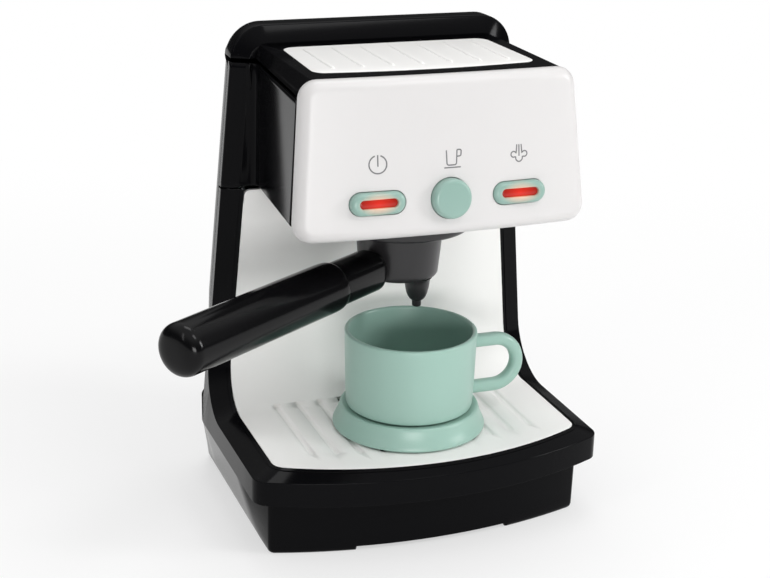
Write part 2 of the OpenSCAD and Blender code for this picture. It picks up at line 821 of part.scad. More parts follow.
module base_plate() {
    color("#18181a") difference() {
        union() {
            translate([0, 0, plate_z]) linear_extrude(plate_t)
                plan(foot_w / 2 - shell_wall - plate_gap, foot_front_y + shell_wall + plate_gap,
                     foot_bow, rear_in_y - plate_gap, foot_corner_r, rear_base_r + 1);
            translate([-bay_l / 2 - bay_wall, bay_y - bay_w / 2 - bay_wall, plate_z])
                cube([bay_l + 2 * bay_wall, bay_w + 2 * bay_wall, bay_h + plate_t + bay_wall]);
            translate([tongue_x, bay_y, plate_z]) cylinder(r = 3.6, h = 9);
        }
        translate([-bay_l / 2, bay_y - bay_w / 2, plate_z - 1])
            cube([bay_l, bay_w, bay_h + plate_t + 1]);
        translate([0, 0, plate_z - 1]) linear_extrude(door_t + 1) door_outline(fit_gap);
        translate([tongue_x, bay_y, plate_z - 1]) cylinder(r = screw_hole_r, h = 9);
        base_post_places() translate([0, 0, plate_z - 1]) cylinder(r = screw_r + fit_gap, h = 5);
        pad_places() translate([0, 0, plate_z - 1]) cylinder(r = pad_r - 2, h = 2);
        // Ways out for the leads
        for (x = [-1, 1]) translate([x * 12, bay_wall_y - 4, plate_z + bay_h - 1])
            cylinder(r = 1.6, h = 8);
    }
}

module battery_door() {
    color("#18181a") difference() {
        translate([0, 0, plate_z]) linear_extrude(door_t) door_outline(0);
        translate([tongue_x, bay_y, plate_z - 1]) cylinder(r = screw_r + fit_gap, h = 5);
    }
}

module feet() {
    color("#2a2a2c") pad_places() {
        cylinder(r = pad_r, h = plate_z);
        cylinder(r = pad_r - 2 - fit_gap, h = plate_z + 0.9);
    }
}

cell_z = plate_z + door_t + 0.6 + cell_dia / 2;

module batteries() {
    color("#c9a44a") for (i = [0:cell_count - 1]) {
        y = bay_y + (i - (cell_count - 1) / 2) * cell_pitch;
        way = i % 2 == 0 ? 1 : -1;
        translate([0, y, cell_z]) rotate([0, 90 * way, 0]) {
            translate([0, 0, -cell_l / 2]) cylinder(r = cell_dia / 2, h = cell_l - 1.4);
            translate([0, 0, cell_l / 2 - 1.4]) cylinder(r = 2.7, h = 1.4);
        }
    }
}

module battery_contacts() {
    color("#c8cacc") for (i = [0:cell_count - 1], end = [-1, 1]) {
        y = bay_y + (i - (cell_count - 1) / 2) * cell_pitch;
        way = i % 2 == 0 ? 1 : -1;
        translate([end * (bay_l / 2 - 0.4), y, cell_z]) {
            cube([0.5, 10, 10], center = true);
            // Flat button at the plus end, coil at the minus end
            if (end == way) {
                translate([-end * 1.9, 0, 0]) rotate([0, 90, 0]) cylinder(r = 2.4, h = 3.4, center = true);
            } else {
                for (turn = [0:3]) translate([-end * (0.75 + turn * 0.95), 0, 0]) rotate([0, 90, 0])
                    rotate_extrude() translate([4.4 - turn * 0.5, 0]) circle(0.45, $fn = 16);
                translate([-end * 1.95, 2.9, 0]) rotate([0, 90, 0]) cylinder(r = 0.5, h = 3.4, center = true);
            }
        }
    }
}

// ---- Front panel ----

module panel_outline(inset) {
    top_half = panel_top_w / 2;
    low_half = panel_bottom_w / 2;
    offset(r = panel_r) offset(delta = -panel_r - inset) polygon([
        [-low_half, -panel_h / 2], [low_half, -panel_h / 2], [top_half, panel_h / 2], [-top_half, panel_h / 2]
    ]);
}

// A slab with a bowed front, its middle at height top_n
module bowed_slab(top_n) {
    intersection() {
        translate([0, 0, -30]) linear_extrude(40) children();
        translate([0, 0, -panel_bow_r]) rotate([90, 0, 0])
            cylinder(r = panel_bow_r + top_n, h = 200, center = true, $fn = 360);
    }
}

board_n = -15.4;
board_t = 1.6;
board_h = 24;
board_post_r = 2.8;
flange_t = 1.4;
flange_rim = 1;
// The posts stand clear of the buttons' flanges, and the board reaches past the posts
board_post_clear = 3.95;
board_post_x = button_x + oval_w / 2 + flange_rim + board_post_clear + board_post_r;
board_w = 2 * board_post_x + 11;
led_x = button_x;
switch_x_off = 9.6;
button_v = button_rise - panel_h / 2;
// The board lies higher than the buttons, to clear the head's underside
board_v = button_v + 6.6;

module board_post_places() {
    for (x = [-1, 1], v = [-1, 1])
        translate([x * board_post_x, board_v + v * (board_h / 2 - 3.4), 0]) children();
}

module button_hole(gap) {
    for (x = [-1, 1]) translate([x * button_x, button_v]) oval(oval_w + 2 * gap, oval_h + 2 * gap);
    translate([0, button_v]) circle(round_dia / 2 + gap);
}

module front_panel() {
    color("#f4f3f1") on_panel() difference() {
        union() {
            difference() {
                bowed_slab(0) panel_outline(0);
                bowed_slab(-panel_wall) panel_outline(panel_wall);
                bowed_slab(-panel_side_d) square(200, center = true);
            }
            board_post_places() translate([0, 0, board_n])
                cylinder(r = board_post_r, h = -board_n - panel_fall(board_post_x + board_post_r) - 0.6);
        }
        translate([0, 0, -12]) linear_extrude(20) button_hole(move_gap);
        board_post_places() translate([0, 0, board_n - 1]) cylinder(r = screw_hole_r, h = 8);
    }
}

// Skin of the panel behind a button at distance x
function skin_back(x) = -panel_wall - panel_fall(x);

module oval_button(side) {
    face_n = oval_proud - panel_fall(button_x);
    back_n = skin_back(button_x + oval_w / 2 + flange_rim) - move_gap;
    stem_n = switch_top_n + oval_travel + 0.15;
    on_panel() translate([side * button_x, button_v, 0]) difference() {
        union() {
            translate([0, 0, back_n - flange_t]) linear_extrude(face_n - back_n + flange_t)
                oval(oval_w, oval_h);
            translate([0, 0, back_n - flange_t]) linear_extrude(flange_t)
                oval(oval_w + 2 * flange_rim, oval_h + 2 * flange_rim);
            translate([side * switch_x_off, 0, stem_n]) cylinder(r = 2, h = back_n - stem_n);
        }
        translate([0, 0, back_n - flange_t - 1]) linear_extrude(deep) oval(lens_w, lens_h);
    }
}

module oval_lens(side) {
    face_n = oval_proud - panel_fall(button_x);
    back_n = skin_back(button_x + oval_w / 2 + flange_rim) - move_gap;
    on_panel() translate([side * button_x, button_v, back_n - flange_t])
        linear_extrude(face_n - back_n + flange_t - 0.5) oval(lens_w - 0.1, lens_h - 0.1);
}

module left_button() color("#a9d3c2") oval_button(-1);
module right_button() color("#a9d3c2") oval_button(1);
module left_lens() color("#d6261c") oval_lens(-1);
module right_lens() color("#d6261c") oval_lens(1);

module center_button() {
    back_n = skin_back(round_dia / 2 + flange_rim) - move_gap;
    stem_n = switch_top_n + round_travel + 0.15;
    color("#a9d3c2") on_panel() translate([0, button_v, 0]) {
        translate([0, 0, back_n - flange_t]) {
            cylinder(r = round_dia / 2, h = round_proud - back_n + flange_t);
            cylinder(r = round_dia / 2 + flange_rim, h = flange_t);
        }
        translate([0, 0, stem_n]) cylinder(r = 2.4, h = back_n - stem_n);
    }
}

// ---- Circuit board and what is on it ----

switch_h = 3.5;
switch_top_n = board_n + switch_h + 0.7;
led_r = 2.5;
led_h = 5.5;

module circuit_board() {
    color("#1f6b3a") on_panel() difference() {
        translate([-board_w / 2, board_v - board_h / 2, board_n - board_t - fit_gap])
            cube([board_w, board_h, board_t]);
        board_post_places() translate([0, 0, board_n - board_t - 1])
            cylinder(r = screw_r + fit_gap, h = 4);
    }
}

module leds() {
    color("#ff5a3c") on_panel() for (x = [-1, 1]) translate([x * led_x, button_v, board_n]) {
        translate([0, 0, -fit_gap]) cylinder(r = led_r + 0.4, h = 1);
        cylinder(r = led_r, h = led_h - led_r);
        translate([0, 0, led_h - led_r]) sphere(led_r);
    }
}

module switches() {
    xs = [-button_x - switch_x_off, 0, button_x + switch_x_off];
    color("#3a3c40") on_panel() for (x = xs) translate([x, button_v, board_n - fit_gap]) {
        translate([-3, -3, 0]) cube([6, 6, switch_h]);
        translate([0, 0, switch_h - 1]) cylinder(r = 1.7, h = switch_top_n - board_n - switch_h + 1 + fit_gap);
    }
}

// A screw with its head at z = 0 and its shank pointing along +Z
module screw(l, shank) {
    difference() {
        translate([0, 0, -1.6]) cylinder(r = head_screw_r - 0.2, h = 1.6);
        for (a = [0, 90]) rotate(a) translate([-1.5, -0.3, -2]) cube([3, 0.6, 1]);
    }
    cylinder(r = shank, h = l);
}

module board_screws() {
    color("#b9bcc0") on_panel() board_post_places()
        translate([0, 0, board_n - board_t - fit_gap - 0.05]) screw(7, screw_hole_r - 0.02);
}

// ---- Group ring and filter holder ----

neck_top_z = ring_z + 8.5;
lug_z = ring_z + 3.6;
lug_h = 3;
lug_r = neck_r + 3;
lug_sweep = 26;
bowl_top_z = ring_z - move_gap;
bowl_z = bowl_top_z - bowl_h;
handle_z = bowl_z + handle_rise;
handle_way = 270 - handle_turn;

// Slab of space above the head's sloping underside
module above_head_floor() {
    low = head_z - fit_gap;
    spread(rim_w / 2) polygon([
        [head_root_y, low], [head_root_y - deep, low + deep * head_floor_slope],
        [head_root_y - deep, low + deep], [head_root_y, low + deep]
    ]);
}

module group_ring() {
    color("#4c4c50") difference() {
        translate([0, group_y, ring_z]) {
            cylinder(r1 = ring_r - 1.5, r2 = ring_r, h = 2);
            translate([0, 0, 2]) cylinder(r = ring_r, h = 30);
        }
        above_head_floor();
        translate([0, group_y, ring_z - 1]) cylinder(r = neck_r + turn_gap, h = neck_top_z - ring_z + 1 + 0.4);
        translate([0, group_y, lug_z - move_gap])
            cylinder(r = lug_r + move_gap, h = lug_h + 2 * move_gap);
        // Gates that let the lugs in from below
        for (a = [0, 180]) translate([0, group_y, ring_z - 1]) rotate(handle_way + 50 + a)
            intersection() {
                cylinder(r = lug_r + move_gap, h = lug_z - ring_z + 2);
                rotate(-lug_sweep / 2 - 2) wedge(lug_sweep + 4, 60, 20);
            }
        for (a = ring_screw_angles) translate([0, group_y, ring_z + 6]) rotate(a)
            translate([ring_screw_r, 0, 0]) cylinder(r = screw_hole_r, h = 30);
    }
}

module wedge(angle, r, h) {
    linear_extrude(h) polygon([[0, 0], [r, 0], [r * cos(angle / 2), r * sin(angle / 2)] * 1.2,
        [r * cos(angle), r * sin(angle)]]);
}

module ring_screws() {
    color("#b9bcc0") for (a = ring_screw_angles)
        translate([0, group_y, 0]) rotate(a) translate([ring_screw_r, 0, ring_screw_head_z(a)])
            rotate([180, 0, 0]) screw(9, screw_hole_r - 0.02);
}
// Height of the head's floor under a ring screw
function ring_screw_head_z(a) = head_z + shell_wall + 0.6
    + (head_root_y - group_y - ring_screw_r * sin(a)) * head_floor_slope;

module filter_bowl() {
    color("#4c4c50") difference() {
        translate([0, group_y, 0]) union() {
            translate([0, 0, bowl_z + 3]) cylinder(r1 = bowl_low_r + 0.25, r2 = bowl_r, h = bowl_h - 3);
            translate([0, 0, bowl_z]) rotate_extrude() polygon([
                [0, 0], [bowl_low_r - 1.6, 0], [bowl_low_r - 0.5, 0.5], [bowl_low_r, 1.6],
                [bowl_low_r + 0.25, 3], [0, 3]
            ]);
            translate([0, 0, bowl_top_z - 1]) cylinder(r = neck_r, h = neck_top_z - bowl_top_z + 1);
            for (a = [0, 180]) rotate(handle_way + 90 + a) intersection() {
                translate([0, 0, lug_z]) cylinder(r = lug_r, h = lug_h);
                rotate(-lug_sweep / 2) translate([0, 0, lug_z]) wedge(lug_sweep, 60, lug_h);
            }
        }
        // Socket for the handle's neck, and the hole for the spout
        translate([0, group_y, handle_z]) rotate([0, 90, handle_way])
            translate([0, 0, bowl_low_r - 9]) cylinder(r = handle_neck_r + 0.05, h = 40);
        translate([0, group_y, handle_z]) rotate([0, 90, handle_way])
            translate([0, 0, 2]) cylinder(r = screw_r + fit_gap, h = 30);
        translate([0, group_y, handle_z]) rotate([0, 90, handle_way + 180])
            translate([0, 0, -2 - sliver]) cylinder(r = head_screw_r + fit_gap, h = 40);
        spout_place() translate([0, 0, bowl_z - 1]) cylinder(r = spout_pin_r + fit_gap / 2, h = 5);
        translate([0, group_y, neck_top_z - 2]) cylinder(r = neck_r - 3, h = 5);
    }
}

spout_pin_r = 4;
module spout_place() {
    translate([0, group_y, 0]) rotate(handle_way + 90) translate([spout_offset, 0, 0]) children();
}

module spout() {
    shoulder = spout_l - 3.6;
    color("#4c4c50") spout_place() {
        translate([0, 0, bowl_z - 0.02]) cylinder(r = spout_pin_r, h = 3.8);
        translate([0, 0, bowl_z - 0.02]) rotate_extrude() polygon([
            [0, 0], [spout_r, 0], [spout_r - 0.2, -4], [spout_r - 1.2, -8], [spout_r - 2.6, -shoulder + 0.6],
            [2.6, -shoulder], [2.2, -shoulder - 0.2], [2.1, -spout_l], [0, -spout_l]
        ]);
    }
}

core_r = 5;
core_end = grip_end - 14;
collar_start = bowl_r + 0.3;
collar_l = grip_start - collar_start - 0.1;

module along_handle() {
    translate([0, group_y, handle_z]) rotate([0, 90, handle_way]) children();
}

module handle_core() {
    color("#0c0c0e") along_handle() difference() {
        union() {
            translate([0, 0, bowl_low_r - 9 + 0.1])
                cylinder(r = handle_neck_r, h = collar_start - bowl_low_r + 9 + 2);
            translate([0, 0, collar_start]) rotate_extrude() polygon([
                [0, 0], [collar_r - 2.4, 0], [collar_r - 0.8, 0.7], [collar_r, 2.3],
                [collar_r, collar_l], [0, collar_l]
            ]);
            cylinder(r = core_r, h = core_end);
        }
        translate([0, 0, -1]) cylinder(r = 60, h = bowl_low_r - 9 + 1.1);
        translate([0, 0, bowl_low_r - 10]) cylinder(r = screw_hole_r, h = 16);
    }
}

module handle_grip() {
    color("#0c0c0e") along_handle() difference() {
        translate([0, 0, grip_start]) rotate_extrude() polygon(concat(
            [[0, 0], [grip_r - 1.6, 0], [grip_r - 0.5, 0.5], [grip_r, 1.6]],
            [for (a = [0:15:75]) dome_point(a)], [[0, grip_end - grip_start]]
        ));
        translate([0, 0, grip_start - 1]) cylinder(r = core_r + fit_gap / 2, h = core_end - grip_start + 1.4);
    }
}
// Point of the grip's rounded end, from its side at 0 degrees to its middle at 90
function dome_point(a) = [
    grip_r * pow(cos(a), 0.62), grip_end - grip_start - grip_dome + grip_dome * pow(sin(a), 0.9)
];

module handle_screw() {
    color("#b9bcc0") along_handle() translate([0, 0, 2]) screw(bowl_low_r + 3, screw_hole_r - 0.02);
}

// ---- Cup and saucer ----

saucer_room = 6.2;
// The saucer's back edge just clears the sweep of the sheet
cup_y = column_y - sweep_r + saucer_room - saucer_r;
saucer_z = tray_z + rest_gap;
dish_slope = 10;
dish_flat_r = 20;
foot_ring_r = cup_r - 3.1;
dish_r = cup_r + 0.4;
cup_z = saucer_z + saucer_h - (dish_r - foot_ring_r) * tan(dish_slope) + rest_gap;
cup_full_h = cup_h + saucer_z + saucer_h + rest_gap - cup_z;
cup_low_r = cup_r - 1.1;

module cup() {
    h = cup_full_h;
    color("#a9d3c2") translate([0, cup_y, cup_z]) {
        rotate_extrude() polygon([
            [0, 1.2], [foot_ring_r - 2.2, 1.2], [foot_ring_r - 2, 0], [foot_ring_r, 0],
            [foot_ring_r + 0.3, 0.8], [cup_low_r - 0.6, 1], [cup_low_r, 1.9],
            [cup_r, h - 0.8], [cup_r - 0.4, h - 0.1], [cup_r - cup_wall / 2, h],
            [cup_r - cup_wall + 0.2, h - 0.3], [cup_r - cup_wall, h - 1],
            [cup_low_r - cup_wall, 7], [cup_low_r - cup_wall - 3, 3.6], [0, 3.2]
        ]);
        // Half ring, with two straight bars to the cup's wall
        translate([0, 0, cup_full_h - cup_h + cup_h * 0.41]) difference() {
            union() {
                intersection() {
                    translate([loop_x, 0, 0]) rotate([90, 0, 0]) rotate_extrude()
                        translate([loop_r, 0]) circle(loop_section_r, $fn = 36);
                    translate([loop_x, -deep / 2, -deep / 2]) cube(deep);
                }
                for (side = [-1, 1]) translate([0, 0, side * loop_r]) rotate([0, 90, 0])
                    cylinder(r = loop_section_r - 0.05, h = loop_x + 0.5, $fn = 36);
            }
            translate([0, 0, -cup_h]) cylinder(r = cup_low_r - 0.6, h = 2 * cup_h);
        }
    }
}

module saucer() {
    floor_z = saucer_h - (dish_r - dish_flat_r) * tan(dish_slope);
    color("#a9d3c2") translate([0, cup_y, saucer_z]) rotate_extrude() polygon([
        [saucer_r - 4, 0], [saucer_r - 0.2, 0.75], [saucer_r, 1.4], [saucer_r - 1.3, 4.2],
        [cup_r + 1.9, saucer_h - 3], [cup_r + 1.5, saucer_h - 1.2], [cup_r + 1, saucer_h - 0.2],
        [dish_r, saucer_h], [dish_flat_r, floor_z], [0, floor_z],
        [0, floor_z - 2], [dish_flat_r, floor_z - 2], [dish_r - 1.6, saucer_h - 2.4],
        [saucer_r - 4.4, 3.6], [saucer_r - 5.2, 0.6]
    ]);
}

// ---- Screws of the shells ----

module base_screws() {
    color("#b9bcc0") base_post_places() translate([0, 0, plate_z - 0.05])
        screw(16, screw_hole_r - 0.02);
}

module rear_screws() {
    l = rear_y - sheet_y - 4 - 4;
    color("#b9bcc0") rear_screw_places() translate([0, 0, 3.85]) screw(l, screw_hole_r - 0.02);
}

module head_screws() {
    color("#b9bcc0") head_screw_places() translate([0, 0, 5.05]) rotate([180, 0, 0])
        screw(14, screw_hole_r - 0.02);
}

module door_screw() {
    color("#b9bcc0") translate([tongue_x, bay_y, plate_z - 0.05])
        screw(8, screw_hole_r - 0.02);
}

// ---- Leads inside the column ----

lead_r = 0.8;
function unit(v) = v / norm(v);
// A smooth path through the given points
function spline_point(p, i, t) = let (
    a = p[max(i - 1, 0)], b = p[i], c = p[i + 1], d = p[min(i + 2, len(p) - 1)]
) 0.5 * (2 * b + (c - a) * t + (2 * a - 5 * b + 4 * c - d) * t * t
    + (3 * b - a - 3 * c + d) * t * t * t);
function spline(p, n) = concat(
    [for (i = [0:len(p) - 2], s = [0:n - 1]) spline_point(p, i, s / n)], [p[len(p) - 1]]);

module lead(points) {
    path = spline(points, 4);
    n = len(path);
    sides = 8;
    ring_points = [for (i = [0:n - 1])
        let (t = unit(path[min(i + 1, n - 1)] - path[max(i - 1, 0)]),
             u = unit(cross(t, [1, 0.2, 0.1])), v = cross(t, u))
        for (k = [0:sides - 1])
            path[i] + lead_r * (u * cos(k * 360 / sides) + v * sin(k * 360 / sides))];
    faces = concat(
        [[for (k = [0:sides - 1]) sides - 1 - k]],
        [for (i = [0:n - 2], k = [0:sides - 1]) [
            i * sides + k, i * sides + (k + 1) % sides,
            (i + 1) * sides + (k + 1) % sides, (i + 1) * sides + k]],
        [[for (k = [0:sides - 1]) (n - 1) * sides + k]]);
    polyhedron(ring_points, faces);
}

// A point behind the circuit board: x across, v up the panel, off behind the board
function behind_board(x, v, off) = let (n = board_n - board_t - fit_gap - off) [
    x, panel_mid_y + v * sin(panel_lean) - n * cos(panel_lean),
    panel_mid_z + v * cos(panel_lean) + n * sin(panel_lean)
];

module battery_wires() {
    y0 = bay_wall_y - 4;
    color("#b3261e") for (x = [-1, 1]) lead([
        [x * 12, y0, plate_z + bay_h + 0.5], [x * 12, y0, plate_z + bay_h + 8],
        [x * 13, column_y + 13, 60], [x * 14, column_y + 9, 110], [x * 14, column_y + 9, 150],
        [x * 14, column_y - 4, head_z + 18], [x * 15, column_y - 40, head_z + 26],
        behind_board(x * 16, button_v + 7, 12), behind_board(x * 16, button_v + 7, 0.1)
    ]);
}

module speaker_wires() {
    speaker_back_y = rear_y - shell_wall - fit_gap - 11.6;
    color("#2f5fb3") for (x = [-1, 1]) lead([
        [x * 4, speaker_back_y, grille_z], [x * 4, speaker_back_y - 3, grille_z + 4],
        [x * 5, column_y + 9, grille_z + 30], [x * 5, column_y + 8, head_z + 6],
        [x * 5, column_y - 4, head_z + 20], [x * 6, column_y - 40, head_z + head_h / 2],
        behind_board(x * 6, button_v + 7, 12), behind_board(x * 6, button_v + 7, 0.1)
    ]);
}

lower_frame();
head_shell();
top_cover();
rear_cover();
base_plate();
battery_door();
feet();
backsplash_tray();
warmer_tray();
front_panel();
left_button();
left_lens();
right_button();
right_lens();
center_button();
circuit_board();
leds();
switches();
board_screws();
speaker();
batteries();
battery_contacts();
battery_wires();
speaker_wires();
group_ring();
ring_screws();
filter_bowl();
spout();
handle_core();
handle_grip();
handle_screw();
cup();
saucer();
base_screws();
rear_screws();
head_screws();
door_screw();
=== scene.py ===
import math

import bmesh
import bpy
from mathutils import Matrix, Vector


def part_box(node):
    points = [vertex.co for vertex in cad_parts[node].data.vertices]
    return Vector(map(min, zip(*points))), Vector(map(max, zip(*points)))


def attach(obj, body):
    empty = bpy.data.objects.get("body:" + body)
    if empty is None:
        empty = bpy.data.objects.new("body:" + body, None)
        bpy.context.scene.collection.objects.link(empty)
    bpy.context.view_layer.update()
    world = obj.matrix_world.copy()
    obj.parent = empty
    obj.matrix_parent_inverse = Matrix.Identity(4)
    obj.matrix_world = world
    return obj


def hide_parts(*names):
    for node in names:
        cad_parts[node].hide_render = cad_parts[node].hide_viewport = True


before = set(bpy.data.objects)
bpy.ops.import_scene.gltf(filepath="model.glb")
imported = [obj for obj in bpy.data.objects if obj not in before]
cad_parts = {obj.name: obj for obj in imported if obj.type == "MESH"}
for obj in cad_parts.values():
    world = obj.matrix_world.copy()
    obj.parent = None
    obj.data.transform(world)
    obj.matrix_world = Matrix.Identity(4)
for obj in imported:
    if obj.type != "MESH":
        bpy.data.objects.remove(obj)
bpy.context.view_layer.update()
scene = bpy.context.scene

# ---------------------------------------------------------------------------
# Studio
# A pale floor, a soft sky and five soft boxes, as for a small product shot.
# The camera stands in front, to the left and a little above.
# ---------------------------------------------------------------------------

MM = 0.001
PICTURE_W = 770.0
FOCAL_LENGTH = 1632.0
SENSOR_W = 36.0

camera_data = bpy.data.cameras.new("camera")
camera = bpy.data.objects.new("camera", camera_data)
scene.collection.objects.link(camera)
scene.camera = camera
camera_data.sensor_width = SENSOR_W
camera_data.lens = FOCAL_LENGTH / PICTURE_W * SENSOR_W
camera_data.shift_x = -7.0 / PICTURE_W
camera_data.shift_y = -1.3 / PICTURE_W
camera_data.clip_start = 0.05
camera_data.clip_end = 20.0
view_right = Vector((0.93663, -0.34950, 0.02397))
view_up = Vector((0.09603, 0.32195, 0.94187))
view_back = Vector((-0.33690, -0.87988, 0.33511))
camera_turn = Matrix((view_right, view_up, view_back)).transposed()
camera.matrix_world = Matrix.Translation(Vector((-272.85, -710.76, 378.60)) * MM) @ camera_turn.to_4x4()

scene.view_settings.view_transform = "Standard"

HORIZON, ZENITH = 0.05, 0.95
world = bpy.data.worlds.new("studio_sky")
scene.world = world
world.use_nodes = True
sky = world.node_tree
sky.nodes.clear()
sky_out = sky.nodes.new("ShaderNodeOutputWorld")
sky_shader = sky.nodes.new("ShaderNodeBackground")
sky_way = sky.nodes.new("ShaderNodeTexCoord")
sky_split = sky.nodes.new("ShaderNodeSeparateXYZ")
sky_level = sky.nodes.new("ShaderNodeMapRange")
sky_level.interpolation_type = "SMOOTHSTEP"
sky_level.inputs["From Min"].default_value = 0.22
sky_level.inputs["From Max"].default_value = 0.85
sky_level.inputs["To Min"].default_value = HORIZON
sky_level.inputs["To Max"].default_value = ZENITH
sky.links.new(sky_way.outputs["Generated"], sky_split.inputs[0])
sky.links.new(sky_split.outputs[2], sky_level.inputs["Value"])
sky_shader.inputs["Color"].default_value = (1.0, 1.0, 1.0, 1.0)
sky.links.new(sky_level.outputs[0], sky_shader.inputs["Strength"])
sky.links.new(sky_shader.outputs[0], sky_out.inputs[0])


def soft_box(name, place, aim, width, height, watts):
    """A rectangular area lamp that looks from its place to the aim."""
    light = bpy.data.lights.new(name, "AREA")
    light.shape = "RECTANGLE"
    light.size = width
    light.size_y = height
    light.energy = watts
    lamp = bpy.data.objects.new(name, light)
    scene.collection.objects.link(lamp)
    lamp.location = place
    lamp.rotation_mode = "QUATERNION"
    lamp.rotation_quaternion = (Vector(aim) - Vector(place)).to_track_quat("-Z", "Y")


soft_box("key_box", (0.40, -0.78, 1.35), (0.0, 0.0, 0.10), 0.40, 0.40, 3.4)
soft_box("right_box", (1.25, -0.75, 0.62), (0.0, 0.0, 0.10), 0.30, 0.50, 7.5)
soft_box("front_box", (-0.45, -1.90, 0.30), (0.0, 0.0, 0.12), 0.80, 0.40, 12.0)
soft_box("side_box", (-1.30, -0.60, 0.90), (0.0, 0.0, 0.12), 0.12, 0.90, 1.6)
soft_box("top_box", (0.10, 0.25, 1.45), (0.0, 0.0, 0.10), 0.60, 0.40, 3.2)

floor_data = bpy.data.meshes.new("floor")
floor_data.from_pydata(
    [(-4.0, -4.0, 0.0), (4.0, -4.0, 0.0), (4.0, 4.0, 0.0), (-4.0, 4.0, 0.0)], [], [(0, 1, 2, 3)]
)
floor = bpy.data.objects.new("floor", floor_data)
scene.collection.objects.link(floor)
floor_paint = bpy.data.materials.new("floor_paint")
floor_paint.use_nodes = True
floor_tree = floor_paint.node_tree
floor_shader = floor_tree.nodes["Principled BSDF"]
floor_shader.inputs["Base Color"].default_value = (0.90, 0.90, 0.90, 1.0)
floor_shader.inputs["Roughness"].default_value = 0.75
floor_shader.inputs["Specular IOR Level"].default_value = 0.15
floor_grain = floor_tree.nodes.new("ShaderNodeTexNoise")
floor_grain.inputs["Scale"].default_value = 60.0
floor_bump = floor_tree.nodes.new("ShaderNodeBump")
floor_bump.inputs["Strength"].default_value = 0.02
floor_tree.links.new(floor_grain.outputs["Fac"], floor_bump.inputs["Height"])
floor_tree.links.new(floor_bump.outputs["Normal"], floor_shader.inputs["Normal"])


def calc(tree, operation, *values, clamp=False):
    """A Math node on the given sockets and numbers; returns its result."""
    node = tree.nodes.new("ShaderNodeMath")
    node.operation = operation
    node.use_clamp = clamp
    for socket, value in zip(node.inputs, values):
        if isinstance(value, (int, float)):
            socket.default_value = value
        else:
            tree.links.new(value, socket)
    return node.outputs[0]


def fade_floor_to_white(tree, shader):
    """To rays that show it, the floor is partly white, and wholly so well behind the object."""
    new, link = tree.nodes.new, tree.links.new
    where = new("ShaderNodeTexCoord")
    depth = new("ShaderNodeVectorMath")
    depth.operation = "DOT_PRODUCT"
    depth.inputs[1].default_value = (0.36, 0.93, 0.0)
    link(where.outputs["Object"], depth.inputs[0])
    fade = new("ShaderNodeMapRange")
    fade.interpolation_type = "SMOOTHSTEP"
    fade.inputs["From Min"].default_value = 0.05
    fade.inputs["From Max"].default_value = 0.60
    fade.inputs["To Min"].default_value = 0.55
    link(depth.outputs["Value"], fade.inputs["Value"])
    path = new("ShaderNodeLightPath")
    shows = calc(tree, "MAXIMUM", path.outputs["Is Camera Ray"], path.outputs["Is Glossy Ray"])
    shows = calc(tree, "MAXIMUM", shows, path.outputs["Is Transmission Ray"])
    white = new("ShaderNodeEmission")
    white.inputs["Strength"].default_value = 1.0
    both = new("ShaderNodeMixShader")
    link(calc(tree, "MULTIPLY", fade.outputs[0], shows), both.inputs[0])
    link(shader.outputs[0], both.inputs[1])
    link(white.outputs[0], both.inputs[2])
    link(both.outputs[0], tree.nodes["Material Output"].inputs["Surface"])


fade_floor_to_white(floor_tree, floor_shader)
floor_data.materials.append(floor_paint)

# ---------------------------------------------------------------------------
# Lower frame
# The base, the overhanging rim round the tray and the lower half of the
# column are one glossy black moulding, open underneath and behind.
# ---------------------------------------------------------------------------

BODY_H = 235.0
RIM_HALF = 88.0
TOP_HALF = 71.5
RIM_Z = 42.0
BAND_Z = 30.0
TRAY_Z = 46.0
RIDGE_Y = 34.0
SHEET_Y = 30.0
SIDE_BACK_Y = 38.0
SWEEP_R = 28.0
BEVEL_W = 10.6
BEVEL_RISE = 4.0
FRAME_TOP = 155.2
REAR_R = 23.0
BASE_TOP = 43.6
BACK_Y = 61.0
SEAT = 2.8
SHEET_FRONT = -72.7
SHEET_BOW = 18.9
FOOT_HALF = 79.5
GAP_HALF = 39.6
GAP_RISE = 2.5


def half_width(z):
    """Half width of the frame at height z: upright to the rim, then drawn in to the top."""
    return RIM_HALF - (max(z, RIM_Z) - RIM_Z) * (RIM_HALF - TOP_HALF) / (BODY_H - RIM_Z)


def bowed_edge(half, front, bow, corner, fractions, corner_steps):
    """Right half of a bowed front with a round corner, from the middle to the side."""
    r = (half * half + bow * bow) / (2 * bow)
    cx = half - corner
    cy = front + r - math.sqrt((r - corner) ** 2 - cx * cx)
    end = math.asin(cx / (r - corner))
    out = [(r * math.sin(end * f), front + r - r * math.cos(end * f)) for f in fractions]
    for i in range(1, corner_steps + 1):
        a = end + (math.pi / 2 - end) * i / corner_steps
        out.append((cx + corner * math.sin(a), cy - corner * math.cos(a)))
    return out


